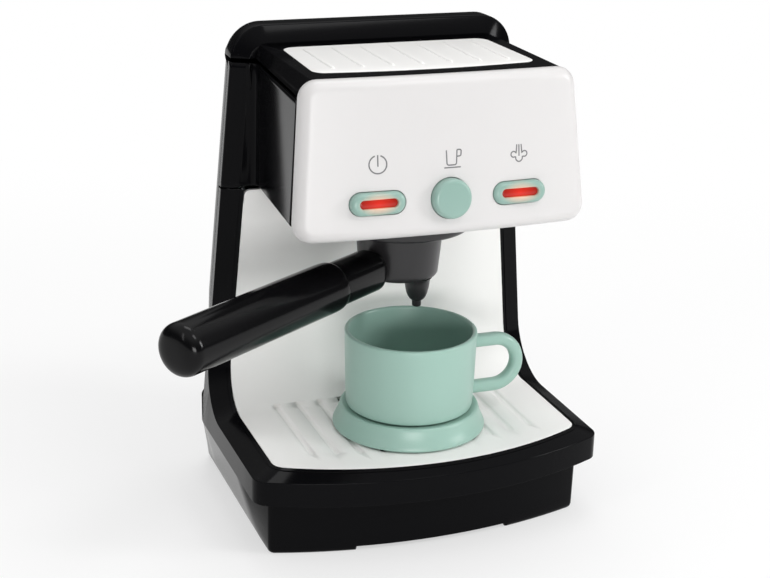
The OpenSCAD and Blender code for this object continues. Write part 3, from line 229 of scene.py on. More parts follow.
def moulded_finish():
    """Node group: slow shifts of shade and gloss, and a fine grain, as a moulding has."""
    group = bpy.data.node_groups.new("moulded_finish", "ShaderNodeTree")
    sockets = (
        ("Colour", "NodeSocketColor", (0.5, 0.5, 0.5, 1.0)),
        ("Shade shift", "NodeSocketFloat", 0.05),
        ("Roughness", "NodeSocketFloat", 0.3),
        ("Gloss shift", "NodeSocketFloat", 0.05),
        ("Patch size", "NodeSocketFloat", 18.0),
        ("Grain size", "NodeSocketFloat", 900.0),
    )
    for name, kind, value in sockets:
        item = group.interface.new_socket(name=name, in_out="INPUT", socket_type=kind)
        item.default_value = value
    group.interface.new_socket(name="Colour", in_out="OUTPUT", socket_type="NodeSocketColor")
    group.interface.new_socket(name="Roughness", in_out="OUTPUT", socket_type="NodeSocketFloat")
    group.interface.new_socket(name="Height", in_out="OUTPUT", socket_type="NodeSocketFloat")
    new, link = group.nodes.new, group.links.new
    get = new("NodeGroupInput")
    put = new("NodeGroupOutput")
    where = new("ShaderNodeTexCoord")
    patch = new("ShaderNodeTexNoise")
    patch.inputs["Detail"].default_value = 3.0
    link(where.outputs["Object"], patch.inputs["Vector"])
    link(get.outputs["Patch size"], patch.inputs["Scale"])
    centred = calc(group, "SUBTRACT", patch.outputs["Fac"], 0.5)
    tint = new("ShaderNodeVectorMath")
    tint.operation = "SCALE"
    link(get.outputs["Colour"], tint.inputs[0])
    link(calc(group, "MULTIPLY_ADD", centred, get.outputs["Shade shift"], 1.0), tint.inputs["Scale"])
    grain = new("ShaderNodeTexNoise")
    grain.inputs["Detail"].default_value = 2.0
    link(where.outputs["Object"], grain.inputs["Vector"])
    link(get.outputs["Grain size"], grain.inputs["Scale"])
    link(tint.outputs[0], put.inputs["Colour"])
    link(calc(group, "MULTIPLY_ADD", centred, get.outputs["Gloss shift"], get.outputs["Roughness"]),
         put.inputs["Roughness"])
    link(grain.outputs["Fac"], put.inputs["Height"])
    return group


finish_group = moulded_finish()


def plastic(name, colour, roughness, shade=0.05, gloss=0.04, patch=18.0, grain=900.0, bump=0.03,
            specular=0.5, metallic=0.0):
    """A moulded plastic or like finish built on the shared group."""
    paint = bpy.data.materials.new(name)
    paint.use_nodes = True
    tree = paint.node_tree
    shader = tree.nodes["Principled BSDF"]
    shader.inputs["Specular IOR Level"].default_value = specular
    shader.inputs["Metallic"].default_value = metallic
    finish = tree.nodes.new("ShaderNodeGroup")
    finish.node_tree = finish_group
    finish.inputs["Colour"].default_value = (*colour, 1.0)
    finish.inputs["Shade shift"].default_value = shade
    finish.inputs["Roughness"].default_value = roughness
    finish.inputs["Gloss shift"].default_value = gloss
    finish.inputs["Patch size"].default_value = patch
    finish.inputs["Grain size"].default_value = grain
    relief = tree.nodes.new("ShaderNodeBump")
    relief.inputs["Strength"].default_value = bump
    relief.inputs["Distance"].default_value = 0.0003
    tree.links.new(finish.outputs["Colour"], shader.inputs["Base Color"])
    tree.links.new(finish.outputs["Roughness"], shader.inputs["Roughness"])
    tree.links.new(finish.outputs["Height"], relief.inputs["Height"])
    tree.links.new(relief.outputs["Normal"], shader.inputs["Normal"])
    return paint


black_gloss = plastic("black_gloss", (0.0032, 0.0032, 0.0038), 0.12, gloss=0.05, bump=0.012,
                      specular=0.06)


def piece(name, points, faces, paint, slot, body, *stands_for, smooth=38.0, toward=None):
    """A mesh given in millimetres, in place, as a finished piece on its body."""
    data = bpy.data.meshes.new(name)
    data.from_pydata([Vector(p) * MM for p in points], [], faces)
    form = bmesh.new()
    form.from_mesh(data)
    bmesh.ops.remove_doubles(form, verts=form.verts, dist=1e-6)
    bmesh.ops.dissolve_degenerate(form, dist=1e-7, edges=form.edges)
    bmesh.ops.recalc_face_normals(form, faces=form.faces)
    middle = sum((v.co for v in form.verts), Vector()) / len(form.verts)
    facing = sum(f.calc_area() * f.normal.dot(Vector(toward) if toward else f.calc_center_median() - middle)
                 for f in form.faces)
    if facing < 0:
        bmesh.ops.reverse_faces(form, faces=form.faces)
    form.to_mesh(data)
    form.free()
    data.materials.append(paint)
    data.shade_smooth()
    data.set_sharp_from_angle(angle=math.radians(smooth))
    thing = bpy.data.objects.new(name, data)
    scene.collection.objects.link(thing)
    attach(thing, body)
    if stands_for:
        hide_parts(*stands_for)
    return thing


class Skin:
    """Collects rows of points and the quads between neighbouring rows."""

    def __init__(self):
        self.points = []
        self.faces = []

    def rows(self, rows, closed=False, flip=False):
        """Joins each row to the next; closed rows run round, flip turns the faces over."""
        start = len(self.points)
        n = len(rows[0])
        for row in rows:
            self.points.extend(row)
        for i in range(len(rows) - 1):
            for j in range(n if closed else n - 1):
                a = start + i * n + j
                b = start + i * n + (j + 1) % n
                quad = (a, b, b + n, a + n)
                self.faces.append(quad[::-1] if flip else quad)

    def mirrored(self):
        """Adds the mirror image across X = 0."""
        n = len(self.points)
        self.points += [(-x, y, z) for x, y, z in self.points]
        self.faces += [tuple(v + n for v in reversed(f)) for f in self.faces]

    def ends(self, n):
        """Closes the first and the last row, each of n points."""
        total = len(self.points)
        self.faces += [tuple(range(n))[::-1], tuple(range(total - n, total))]


def edges_near(thing, test, weight):
    """Gives the edges whose two ends pass the test a share of the bevel's width."""
    data = thing.data
    share = data.attributes.get("bevel_weight_edge")
    if share is None:
        share = data.attributes.new("bevel_weight_edge", "FLOAT", "EDGE")
    for edge in data.edges:
        a, b = (data.vertices[i].co / MM for i in edge.vertices)
        if test(a) and test(b):
            share.data[edge.index].value = weight


def rounded(thing, width, steps=3, weights=False, angle=30.0):
    """Softens the weighted edges, or those sharper than the angle."""
    soft = thing.modifiers.new("rounded_edges", "BEVEL")
    soft.width = width * MM
    soft.segments = steps
    soft.limit_method = "WEIGHT" if weights else "ANGLE"
    soft.angle_limit = math.radians(angle)
    soft.harden_normals = True
    soft.use_clamp_overlap = True


def walled(thing, thickness):
    """Gives an open skin its wall, inwards from the outer face."""
    wall = thing.modifiers.new("wall", "SOLIDIFY")
    wall.thickness = thickness * MM
    wall.offset = -1.0


FRONT = [0.0, 0.1, 0.2, 0.3, 0.4, 0.5, 0.508, 0.517, 0.6, 0.7, 0.8, 0.9, 1.0]
CORNER = 7
BAND_TURN = 38.66
BASE_TURN = 50.48
SWEEP_TURNS = [0.0, 8.0, 16.0, 24.0, 32.0, BAND_TURN, BASE_TURN, 58.0, 66.0, 75.0, 83.0, 90.0]
SWEEP_Y = RIDGE_Y - SWEEP_R
SWEEP_Z = RIM_Z + SWEEP_R


def frame_stations():
    """Ridge, inner edge, inner seat and outer side along the raised frame's right half."""
    ridge = bowed_edge(RIM_HALF, -78.7, 20.0, 9.0, FRONT, CORNER)
    inner = bowed_edge(RIM_HALF - BEVEL_W, SHEET_FRONT, SHEET_BOW, 8.0, FRONT, CORNER)
    rows = []
    for (rx, ry), (ix, iy) in zip(ridge, inner):
        rows.append(((ix, iy, TRAY_Z - SEAT), (ix, iy, TRAY_Z), (rx, ry, RIM_Z), (rx, ry, BAND_Z)))
    for y in (-38.0, -22.0, -8.0):
        rows.append(((RIM_HALF - BEVEL_W, y, TRAY_Z - SEAT), (RIM_HALF - BEVEL_W, y, TRAY_Z),
                     (RIM_HALF, y, RIM_Z), (RIM_HALF, y, BAND_Z)))
    for turn in SWEEP_TURNS:
        s, c = math.sin(math.radians(turn)), math.cos(math.radians(turn))
        z = SWEEP_Z - SWEEP_R * c
        w = half_width(z)
        reach = min((SWEEP_Z - BAND_Z) / max(c, 1e-6), (SIDE_BACK_Y - SWEEP_Y) / max(s, 1e-6))
        if turn == BAND_TURN:
            target = (SIDE_BACK_Y, BAND_Z)
        elif turn == BASE_TURN:
            target = (SIDE_BACK_Y, BASE_TOP)
        else:
            target = (SWEEP_Y + reach * s, SWEEP_Z - reach * c)
        inner_r = SWEEP_R - BEVEL_RISE
        rows.append((
            (w - BEVEL_W, SWEEP_Y + (inner_r + SEAT) * s, SWEEP_Z - (inner_r + SEAT) * c),
            (w - BEVEL_W, SWEEP_Y + inner_r * s, SWEEP_Z - inner_r * c),
            (w, SWEEP_Y + SWEEP_R * s, z),
            (half_width(target[1]), target[0], target[1]),
        ))
    for z in (92.0, 114.0, 136.0, FRAME_TOP):
        w = half_width(z)
        rows.append(((w - BEVEL_W, SHEET_Y + SEAT, z), (w - BEVEL_W, SHEET_Y, z),
                     (w, RIDGE_Y, z), (w, SIDE_BACK_Y, z)))
    return rows


def rear_arc(x_side, y_start, back, r, steps=9):
    """Rear corner of radius r and the straight back to the middle, in plan."""
    out = []
    cx, cy = x_side - r, back - r
    first = 0.0 if cy >= y_start else math.asin((y_start - cy) / r)
    for i in range(1, steps + 1):
        a = first + (math.pi / 2 - first) * i / steps
        out.append((cx + r * math.cos(a), cy + r * math.sin(a)))
    for f in (0.75, 0.5, 0.25, 0.0):
        out.append((cx * f, back))
    return out


frame_rows = frame_stations()
skin = Skin()
skin.rows(frame_rows)
before_sweep = len(FRONT) + CORNER + 3
band = [row[3][:2] for row in frame_rows[:before_sweep]]
band += [row[3][:2] for row in frame_rows[before_sweep:] if abs(row[3][2] - BAND_Z) < 1e-6]
rear_band = rear_arc(RIM_HALF, SIDE_BACK_Y, BACK_Y, REAR_R)
skin.rows([[(x, y, BASE_TOP) for x, y in [(RIM_HALF - 0.15, SIDE_BACK_Y)] + rear_band],
           [(x, y, BAND_Z) for x, y in [(RIM_HALF, SIDE_BACK_Y)] + rear_band]], flip=True)
rear_ledge = rear_arc(RIM_HALF - 3.5, SIDE_BACK_Y, BACK_Y - 3.5, REAR_R - 3.5)
skin.rows([[(x, y, BASE_TOP) for x, y in [(RIM_HALF - 3.5, SIDE_BACK_Y)] + rear_ledge],
           [(x, y, BASE_TOP) for x, y in [(RIM_HALF - 0.15, SIDE_BACK_Y)] + rear_band]], flip=True)


def base_outline(z):
    """Right half of the base's wall at height z, on the same stations as the band."""
    share = z / BAND_Z
    out = bowed_edge(FOOT_HALF + 0.5 * share, -65.0, 12.7, 3.0, FRONT, CORNER)
    for x, y in band[len(out):]:
        flare = min(max((y + 50.0) / 12.0, 0.0), 1.0)
        out.append((FOOT_HALF + (0.5 + 7.6 * flare) * share, y))
    r = 4.0 + (REAR_R - 4.0) * share ** 0.8
    return out + rear_arc(FOOT_HALF + 8.1 * share, SIDE_BACK_Y, 65.0 - 4.2 * share, r)


outline_band = band + rear_band
levels = [(z, 0.0) for z in (30.0, 24.0, 18.0, 12.0, 6.0, 2.3)] + [(1.0, 0.35), (0.25, 1.1), (0.0, 2.2)]
base_rows = [[(x, y, BAND_Z) for x, y in outline_band]]
for z, inset in levels:
    row = []
    for x, y in base_outline(z):
        lift = GAP_RISE * (1.0 - z / GAP_RISE) if abs(x) < GAP_HALF and y < 0 and z < GAP_RISE else 0.0
        length = math.hypot(x, y)
        row.append((x - inset * x / length, y - inset * y / length, z + lift))
    base_rows.append(row)
base_rows.append([(x * 0.965, y * 0.955, 2.6 if abs(x) < GAP_HALF and y < 0 else 0.4)
                  for x, y in base_outline(0.0)])
skin.rows(base_rows)
skin.mirrored()
lower_frame = piece("lower_frame_moulding", skin.points, skin.faces, black_gloss, "black_gloss",
                    "machine", "lower_frame")


def on_line(line):
    """A test for edges_near: is the point one of the line's, on either side?"""
    spots = {(round(abs(p.x), 2), round(p.y, 2), round(p.z, 2)) for p in map(Vector, line)}
    return lambda v: (round(abs(v.x), 2), round(v.y, 2), round(v.z, 2)) in spots


edges_near(lower_frame, on_line([row[2] for row in frame_rows]), 0.8)
edges_near(lower_frame, on_line([row[1] for row in frame_rows]), 0.35)
edges_near(lower_frame, on_line([(x, y, BAND_Z) for x, y in outline_band]), 0.6)
edges_near(lower_frame, lambda v: abs(v.y - SIDE_BACK_Y) < 0.01 and v.z > BASE_TOP - 0.1, 0.3)
rounded(lower_frame, 1.5, weights=True)
walled(lower_frame, 2.0)

# ---------------------------------------------------------------------------
# White tray and backsplash
# One satin white sheet, bent in a wide curve where the tray meets the wall.
# Eleven ribs run to the back; the five in the middle are open slots.
# ---------------------------------------------------------------------------

white_satin = plastic("white_satin", (0.93, 0.922, 0.905), 0.36, shade=0.02, gloss=0.06, bump=0.05,
                      specular=0.45)
SHEET_T = 2.5
SHEET_TOP = 154.8
CUTTER_LENGTH = 50.0


def sheet_form(name, drop, thickness, edge, paint, slot, top, *stands_for):
    """The L-shaped sheet, its outer face lowered by drop and its edges drawn in by edge."""
    half = RIM_HALF - BEVEL_W - edge
    shares = [0.0, 0.1, 0.2, 0.3, 0.4, 0.5, 0.6, 0.7, 0.78, 0.84, 0.885, 0.92, 0.945, 0.965, 0.98,
              0.991, 0.997, 1.0]
    bow_r = ((RIM_HALF - BEVEL_W) ** 2 + SHEET_BOW ** 2) / (2 * SHEET_BOW)
    front = SHEET_FRONT + edge
    corner = 7.6
    cx = half - corner
    cy = front + bow_r - math.sqrt((bow_r - corner) ** 2 - cx * cx)
    tangent = cx * bow_r / (bow_r - corner)

    def front_y(x):
        if x <= tangent:
            return front + bow_r - math.sqrt(bow_r * bow_r - x * x)
        return cy - math.sqrt(max(corner ** 2 - (x - cx) ** 2, 0.0))

    rows = []
    for share in (0.0, 0.04, 0.1, 0.25, 0.4, 0.55, 0.7, 0.85, 1.0):
        row = []
        for s in shares:
            y0 = front_y(half * s)
            row.append((half * s, y0 + (SWEEP_Y - y0) * share, TRAY_Z - drop))
        rows.append(row)
    inner_r = SWEEP_R - BEVEL_RISE + drop
    for i in range(1, 17):
        a = math.pi / 2 * i / 16
        z = SWEEP_Z - inner_r * math.cos(a)
        w = half_width(z) - BEVEL_W - edge
        rows.append([(w * s, SWEEP_Y + inner_r * math.sin(a), z) for s in shares])
    top_r = 3.0
    for z in (82.0, 100.0, 118.0, 136.0, 148.0, top - 2.0, top):
        row = []
        w = half_width(z) - BEVEL_W - edge
        for s in shares:
            over = max(w * s - (w - top_r), 0.0)
            fall = top_r - math.sqrt(max(top_r ** 2 - over * over, 0.0)) if z > top - top_r else 0.0
            row.append((w * s, SHEET_Y + drop, z - fall))
        rows.append(row)
    form = Skin()
    form.rows(rows)
    form.mirrored()
    sheet = piece(name, form.points, form.faces, paint, slot, "machine", *stands_for, toward=(0, -1, 1))
    walled(sheet, thickness)
    return sheet


def stadium(length, width, steps=6):
    """Outline of a slot with round ends, along Y, its middle at the origin."""
    r = width / 2
    out = []
    for sign in (1, -1):
        for i in range(steps + 1):
            a = math.pi * i / steps
            out.append((sign * r * math.cos(a), sign * (length / 2 - r + r * math.sin(a))))
    return out


def slot_cutter(name, profile, length):
    """A flared slot cutter: the profile gives (extra width, height) from the bottom up."""
    form = Skin()
    form.rows([[(x, y, z) for x, y in stadium(length + extra, 3.0 + extra)] for extra, z in profile],
              closed=True)
    form.ends(len(stadium(length, 3.0)))
    data = bpy.data.meshes.new(name)
    data.from_pydata([Vector(p) * MM for p in form.points], [], form.faces)
    tidy = bmesh.new()
    tidy.from_mesh(data)
    bmesh.ops.recalc_face_normals(tidy, faces=tidy.faces)
    tidy.to_mesh(data)
    tidy.free()
    return data


def row_of_cutters(name, cutters, pitch, half_count, curve, tip_y, back_y, top_z, open_half):
    """Geometry Nodes: one cutter at each rib, its front end following the tray's bow."""
    carrier = bpy.data.objects.new(name, bpy.data.meshes.new(name))
    scene.collection.objects.link(carrier)
    tree = bpy.data.node_groups.new(name, "GeometryNodeTree")
    face = tree.interface
    face.new_socket(name="Geometry", in_out="INPUT", socket_type="NodeSocketGeometry")
    inputs = []
    for label, kind, value in (("Ribs each side", "NodeSocketInt", half_count),
                               ("Pitch", "NodeSocketFloat", pitch),
                               ("Front", "NodeSocketFloat", tip_y),
                               ("Curve", "NodeSocketFloat", curve),
                               ("Back", "NodeSocketFloat", back_y),
                               ("Top", "NodeSocketFloat", top_z),
                               ("Open each side", "NodeSocketInt", open_half)):
        inputs.append((face.new_socket(name=label, in_out="INPUT", socket_type=kind), value))
    face.new_socket(name="Geometry", in_out="OUTPUT", socket_type="NodeSocketGeometry")
    new, link = tree.nodes.new, tree.links.new
    get, put = new("NodeGroupInput"), new("NodeGroupOutput")
    count = calc(tree, "MULTIPLY_ADD", get.outputs["Ribs each side"], 2.0, 1.0)
    line = new("GeometryNodeMeshLine")
    link(count, line.inputs["Count"])
    index = new("GeometryNodeInputIndex")
    step = calc(tree, "SUBTRACT", index.outputs[0], get.outputs["Ribs each side"])
    x = calc(tree, "MULTIPLY", step, get.outputs["Pitch"])
    share = calc(tree, "DIVIDE", step, get.outputs["Ribs each side"])
    tip = calc(tree, "MULTIPLY_ADD", calc(tree, "MULTIPLY", share, share), get.outputs["Curve"],
               get.outputs["Front"])
    y = calc(tree, "MULTIPLY", calc(tree, "ADD", tip, get.outputs["Back"]), 0.5)
    length = calc(tree, "SUBTRACT", get.outputs["Back"], tip)
    spot = new("ShaderNodeCombineXYZ")
    link(x, spot.inputs[0])
    link(y, spot.inputs[1])
    link(get.outputs["Top"], spot.inputs[2])
    place = new("GeometryNodeSetPosition")
    link(line.outputs[0], place.inputs["Geometry"])
    link(spot.outputs[0], place.inputs["Position"])
    grow = new("ShaderNodeCombineXYZ")
    grow.inputs[0].default_value = 1.0
    grow.inputs[2].default_value = 1.0
    link(calc(tree, "DIVIDE", length, CUTTER_LENGTH * MM), grow.inputs[1])
    is_open = calc(tree, "LESS_THAN", calc(tree, "ABSOLUTE", step),
                   calc(tree, "ADD", get.outputs["Open each side"], 0.5))
    joined = new("GeometryNodeJoinGeometry")
    for kind, cutter in enumerate(cutters):
        info = new("GeometryNodeObjectInfo")
        info.inputs["Object"].default_value = cutter
        drop = new("GeometryNodeInstanceOnPoints")
        link(place.outputs[0], drop.inputs["Points"])
        link(info.outputs["Geometry"], drop.inputs["Instance"])
        link(grow.outputs[0], drop.inputs["Scale"])
        chosen = is_open if kind == 0 else calc(tree, "SUBTRACT", 1.0, is_open)
        link(chosen, drop.inputs["Selection"])
        link(drop.outputs[0], joined.inputs[0])
    real = new("GeometryNodeRealizeInstances")
    painted = new("GeometryNodeSetMaterial")
    painted.inputs["Material"].default_value = white_satin
    link(joined.outputs[0], real.inputs[0])
    link(real.outputs[0], painted.inputs[0])
    link(painted.outputs[0], put.inputs[0])
    run = carrier.modifiers.new("cutters", "NODES")
    run.node_group = tree
    for socket, value in inputs:
        run[socket.identifier] = value
    return carrier


def baked(carrier):
    """The evaluated shape as a plain mesh, with the carrier taken away."""
    bpy.context.view_layer.update()
    shape = carrier.evaluated_get(bpy.context.evaluated_depsgraph_get())
    data = bpy.data.meshes.new_from_object(shape)
    bpy.data.objects.remove(carrier)
    return data


def cut_with(thing, data):
    """Cuts the mesh out of the thing and keeps the result as its own plain mesh."""
    tool = bpy.data.objects.new("tool", data)
    scene.collection.objects.link(tool)
    cut = thing.modifiers.new("cut", "BOOLEAN")
    cut.operation = "DIFFERENCE"
    cut.solver = "EXACT"
    cut.object = tool
    bpy.context.view_layer.update()
    shape = thing.evaluated_get(bpy.context.evaluated_depsgraph_get())
    result = bpy.data.meshes.new_from_object(shape)
    thing.modifiers.clear()
    old = thing.data
    thing.data = result
    bpy.data.meshes.remove(old)
    bpy.data.objects.remove(tool)
    result.set_sharp_from_angle(angle=math.radians(40))


tray_sheet = sheet_form("tray_and_backsplash_sheet", 0.0, SHEET_T, 0.15, white_satin, "white_satin",
                        SHEET_TOP, "backsplash_tray")
rounded(tray_sheet, 0.9, steps=4, angle=60.0)
open_profile = [(0, -6), (0, -0.7), (0.5, -0.2), (1.6, 0.05), (1.6, 1.0)]
shallow_profile = [(-1.6, -0.9), (-0.6, -0.72), (0.1, -0.3), (1.0, 0.05), (1.0, 1.0)]
cutters = []
for name, profile in (("through", open_profile), ("shallow", shallow_profile)):
    cutters.append(bpy.data.objects.new(name, slot_cutter(name, profile, CUTTER_LENGTH)))
    scene.collection.objects.link(cutters[-1])
slots = row_of_cutters("tray_ribs", cutters, 11.26 * MM, 5, 8.4 * MM, -54.5 * MM, 14.2 * MM,
                       TRAY_Z * MM, 2)
cut_with(tray_sheet, baked(slots))
for tool in cutters:
    bpy.data.objects.remove(tool)

sheet_form("deck_under_the_tray", 3.0, 1.2, 0.4, black_gloss, "black_gloss", 154.4)

# ---------------------------------------------------------------------------
# Head shell
# The upper half of the column and the box of the head, one black moulding.
# The head's sides spread towards the panel and flow into the column's face.
# ---------------------------------------------------------------------------

HEAD_Z = 156.2
HEAD_TOP = 217.4
ROOT_HALF = 61.5
PANEL_LEAN = math.radians(8.0)
PANEL_MID = Vector((0.0, -65.45, 192.33))
PANEL_LOW_HALF = 71.1
PANEL_BOW = 6.4
PANEL_BOW_R = (PANEL_LOW_HALF ** 2 + PANEL_BOW ** 2) / (2 * PANEL_BOW)
PANEL_SIDE = 6.6
PANEL_GAP = 0.6
HEAD_BLEND = 5.0


def panel_fall(x):
    """How far the bowed panel's face lies behind its middle at distance x."""
    return PANEL_BOW_R - math.sqrt(PANEL_BOW_R ** 2 - x * x)


def panel_point(x, v, n):
    """A point given across, up and out of the leaning panel."""
    c, s = math.cos(PANEL_LEAN), math.sin(PANEL_LEAN)
    return (x, PANEL_MID.y + v * s - n * c, PANEL_MID.z + v * c + n * s)


def panel_back_y(x, z):
    """Where the head ends behind the panel at distance x and height z."""
    n = -panel_fall(x) - PANEL_SIDE - PANEL_GAP
    c, s = math.cos(PANEL_LEAN), math.sin(PANEL_LEAN)
    v = (z - PANEL_MID.z - n * s) / c
    return PANEL_MID.y + v * s - n * c


def head_front_half(z):
    """Half width of the head at the panel, at height z."""
    return 66.0 + (220.0 - z) * 5.0 / 56.0


def head_side(y, z):
    """Half width of the head at depth y and height z."""
    front_x = head_front_half(z)
    share = min(max((SHEET_Y - y) / (SHEET_Y - panel_back_y(front_x, z)), 0.0), 1.0)
    flare = 0.0
    if y > SHEET_Y - HEAD_BLEND:
        t = (y - (SHEET_Y - HEAD_BLEND)) / HEAD_BLEND
        flare = HEAD_BLEND * (1.0 - math.sqrt(max(1.0 - t * t, 0.0)))
    return ROOT_HALF + (front_x - ROOT_HALF) * share + flare


def head_floor(y):
    """Height of the head's underside at depth y."""
    return HEAD_Z + 0.9 + max(SHEET_Y - y, 0.0) * 5.8 / 91.9


SIDE_SHARES = (0.0, 0.015, 0.25, 0.5, 0.75, 0.9444)
FLARE_TURNS = (0.25, 0.5, 0.7, 0.85, 0.95, 1.0)


def head_plan():
    """Rows round the head's right half, from the panel to the column's back edge, going up."""
    rows = []
    for level in (0.0, 0.04, 0.25, 0.5, 0.75, 0.96, 1.0):
        z_front = head_floor(-55.0) * (1 - level) + HEAD_TOP * level
        y_front = panel_back_y(head_front_half(z_front), z_front)
        depths = [y_front + (SHEET_Y - HEAD_BLEND - y_front) * share / SIDE_SHARES[-1]
                  for share in SIDE_SHARES]
        depths += [SHEET_Y - HEAD_BLEND + HEAD_BLEND * turn for turn in FLARE_TURNS]
        row = []
        for y in depths:
            z = head_floor(y) * (1 - level) + HEAD_TOP * level
            row.append((head_side(y, z), y, z))
        z = HEAD_Z * (1 - level) + HEAD_TOP * level
        w = half_width(z)
        row.append((w - 8.3, SHEET_Y, z))
        row.append((w, RIDGE_Y, z))
        row.append((w, SIDE_BACK_Y, z))
        rows.append(row)
    return rows


head_rows = head_plan()
skin = Skin()
skin.rows(head_rows)
bottom = head_rows[0][: len(SIDE_SHARES) + len(FLARE_TURNS)]
under = [[(x * f, panel_back_y(x * f, z) if i == 0 else y, z) for i, (x, y, z) in enumerate(bottom)]
         for f in (0.0, 0.25, 0.5, 0.75)]
skin.rows(under + [bottom])
edge_front = [row[0] for row in head_rows]
lip = [(x - 2.2, y + 0.1, z) for x, y, z in edge_front]
skin.rows([lip, edge_front])
skin.mirrored()
head_shell = piece("head_moulding", skin.points, skin.faces, black_gloss, "black_gloss", "machine",
                   "head_shell")
for line, weight in (([row[-2] for row in head_rows], 0.8), ([row[-3] for row in head_rows], 0.4),
                     (bottom, 1.0), (edge_front, 0.4), (head_rows[-1], 0.3)):
    edges_near(head_shell, on_line(line), weight)
rounded(head_shell, 1.5, weights=True)
walled(head_shell, 2.0)

# ---------------------------------------------------------------------------
# Top cover
# The deck over the head and the hoop over the column, one black moulding.
# A seat in the deck holds the white cup warmer sheet.
# ---------------------------------------------------------------------------

COVER_Z = 219.6
DECK_Z = 226.0
DECK_HALF = 59.5
HOOP_R = 15.5
HOOP_BACK = 44.5

skin = Skin()
x_low_front = head_side(panel_back_y(66.0, COVER_Z), COVER_Z)
y_low_front = panel_back_y(x_low_front, COVER_Z)
deck_rows = []
for share in (0.0, 0.02, 0.2, 0.4, 0.6, 0.8, 1.0):
    row = []
    for x in (0.0, 15.0, 30.0, 45.0, 54.0, DECK_HALF):
        y0 = panel_back_y(x, DECK_Z)
        row.append((x, y0 + (SHEET_Y - y0) * share, DECK_Z))
    y = y_low_front + (SHEET_Y - y_low_front) * share
    side = ROOT_HALF + (x_low_front - ROOT_HALF) * (1 - share)
    row += [(side, y, COVER_Z), (side - 2.5, y, COVER_Z)]
    deck_rows.append(row)
skin.rows(deck_rows, flip=True)
*over, (side, side_y, _), (inside, inside_y, _) = deck_rows[0]
front_lip = [(x, y + 0.1, z - 2.6) for x, y, z in over]
front_lip += [(side - 2.2, side_y + 0.1, COVER_Z), (inside, inside_y + 0.1, COVER_Z)]
skin.rows([front_lip, deck_rows[0]], flip=True)


def hoop_line(inset, corner, y):
    """Right half of the hoop's outline, drawn in by inset, from the bottom to the middle."""
    low = COVER_Z
    top = BODY_H - inset
    w = half_width(top) - inset
    cx, cz = w - corner, top - corner
    out = [(half_width(low) - inset, y, low)]
    side = half_width(cz) - inset
    for i in range(13):
        a = math.pi / 2 * i / 12
        x = cx + corner * math.cos(a) + (side - w) * (1.0 - math.sin(a))
        out.append((x, y, max(cz + corner * math.sin(a), low + 0.25 * (i + 1))))
    out += [(cx * 0.66, y, top), (cx * 0.33, y, top), (0.0, y, top)]
    return out


def filleted(corners, steps=4):
    """A polyline of (a, b, radius) with its inner corners rounded."""
    out = [corners[0][:2]]
    for before, (pa, pb, r), after in zip(corners, corners[1:], corners[2:]):
        here = Vector((pa, pb))
        back, on = Vector(before[:2]) - here, Vector(after[:2]) - here
        cut = r * math.tan((math.pi - back.angle(on)) / 2)
        first, last = here + back.normalized() * cut, here + on.normalized() * cut
        for k in range(steps + 1):
            t = k / steps
            out.append(tuple(first * (1 - t) ** 2 + here * 2 * t * (1 - t) + last * t * t))
    out.append(corners[-1][:2])
    return out


hoop_profile = filleted([(8.9, SHEET_Y, 0.0), (8.3, SHEET_Y, 0.5), (0.0, RIDGE_Y, 1.6),
                         (0.0, HOOP_BACK, 0.8), (2.6, HOOP_BACK, 0.0)])
hoop = [hoop_line(inset, max(HOOP_R - inset * 0.9, 7.0), y) for inset, y in hoop_profile]
hoop.insert(0, [(min(x, 59.0), y, min(z, DECK_Z - 0.3)) for x, y, z in hoop[0]])
hoop_skin = Skin()
hoop_skin.rows(hoop, flip=True)
hoop_skin.mirrored()
skin.mirrored()
deck = piece("top_deck_moulding", skin.points, skin.faces, black_gloss, "black_gloss", "machine",
             "top_cover", toward=(0, 0, 1))
edges_near(deck, lambda v: abs(abs(v.x) - DECK_HALF) < 0.05 and abs(v.z - DECK_Z) < 0.05, 0.9)
edges_near(deck, lambda v: abs(v.z - COVER_Z) < 0.05 and abs(v.x) > 60.5, 0.3)
rounded(deck, 1.5, weights=True)
walled(deck, 1.6)
hoop_piece = piece("hoop_moulding", hoop_skin.points, hoop_skin.faces, black_gloss, "black_gloss",
                   "machine")
walled(hoop_piece, 1.6)

# ---------------------------------------------------------------------------
# Cup warmer sheet
# A thin white sheet let into the deck, with seven low ridges to the back.
# ---------------------------------------------------------------------------


def warmer_outline(grow, corner=6.0, steps=6):
    """Closed outline in plan, counter-clockwise, its front bowed like the panel."""
    back_y, front_y, bow = 20.6 + grow, -37.5 - grow, 3.2
    back_half, front_half = 52.4 + grow, 53.9 + grow
    out = []
    front_x, back_x = front_half - corner, back_half - corner
    centres = ((front_x, front_y + corner, -90.0), (back_x, back_y - corner, 0.0),
               (-back_x, back_y - corner, 90.0), (-front_x, front_y + corner, 180.0))
    for cx, cy, start in centres:
        for i in range(steps + 1):
            a = math.radians(start + 90.0 * i / steps)
            out.append((cx + corner * math.cos(a), cy + corner * math.sin(a)))
    for x_share in (-0.75, -0.5, -0.25, 0.0, 0.25, 0.5, 0.75):
        out.append((front_x * x_share, front_y - bow * (1.0 - x_share ** 2)))
    return out


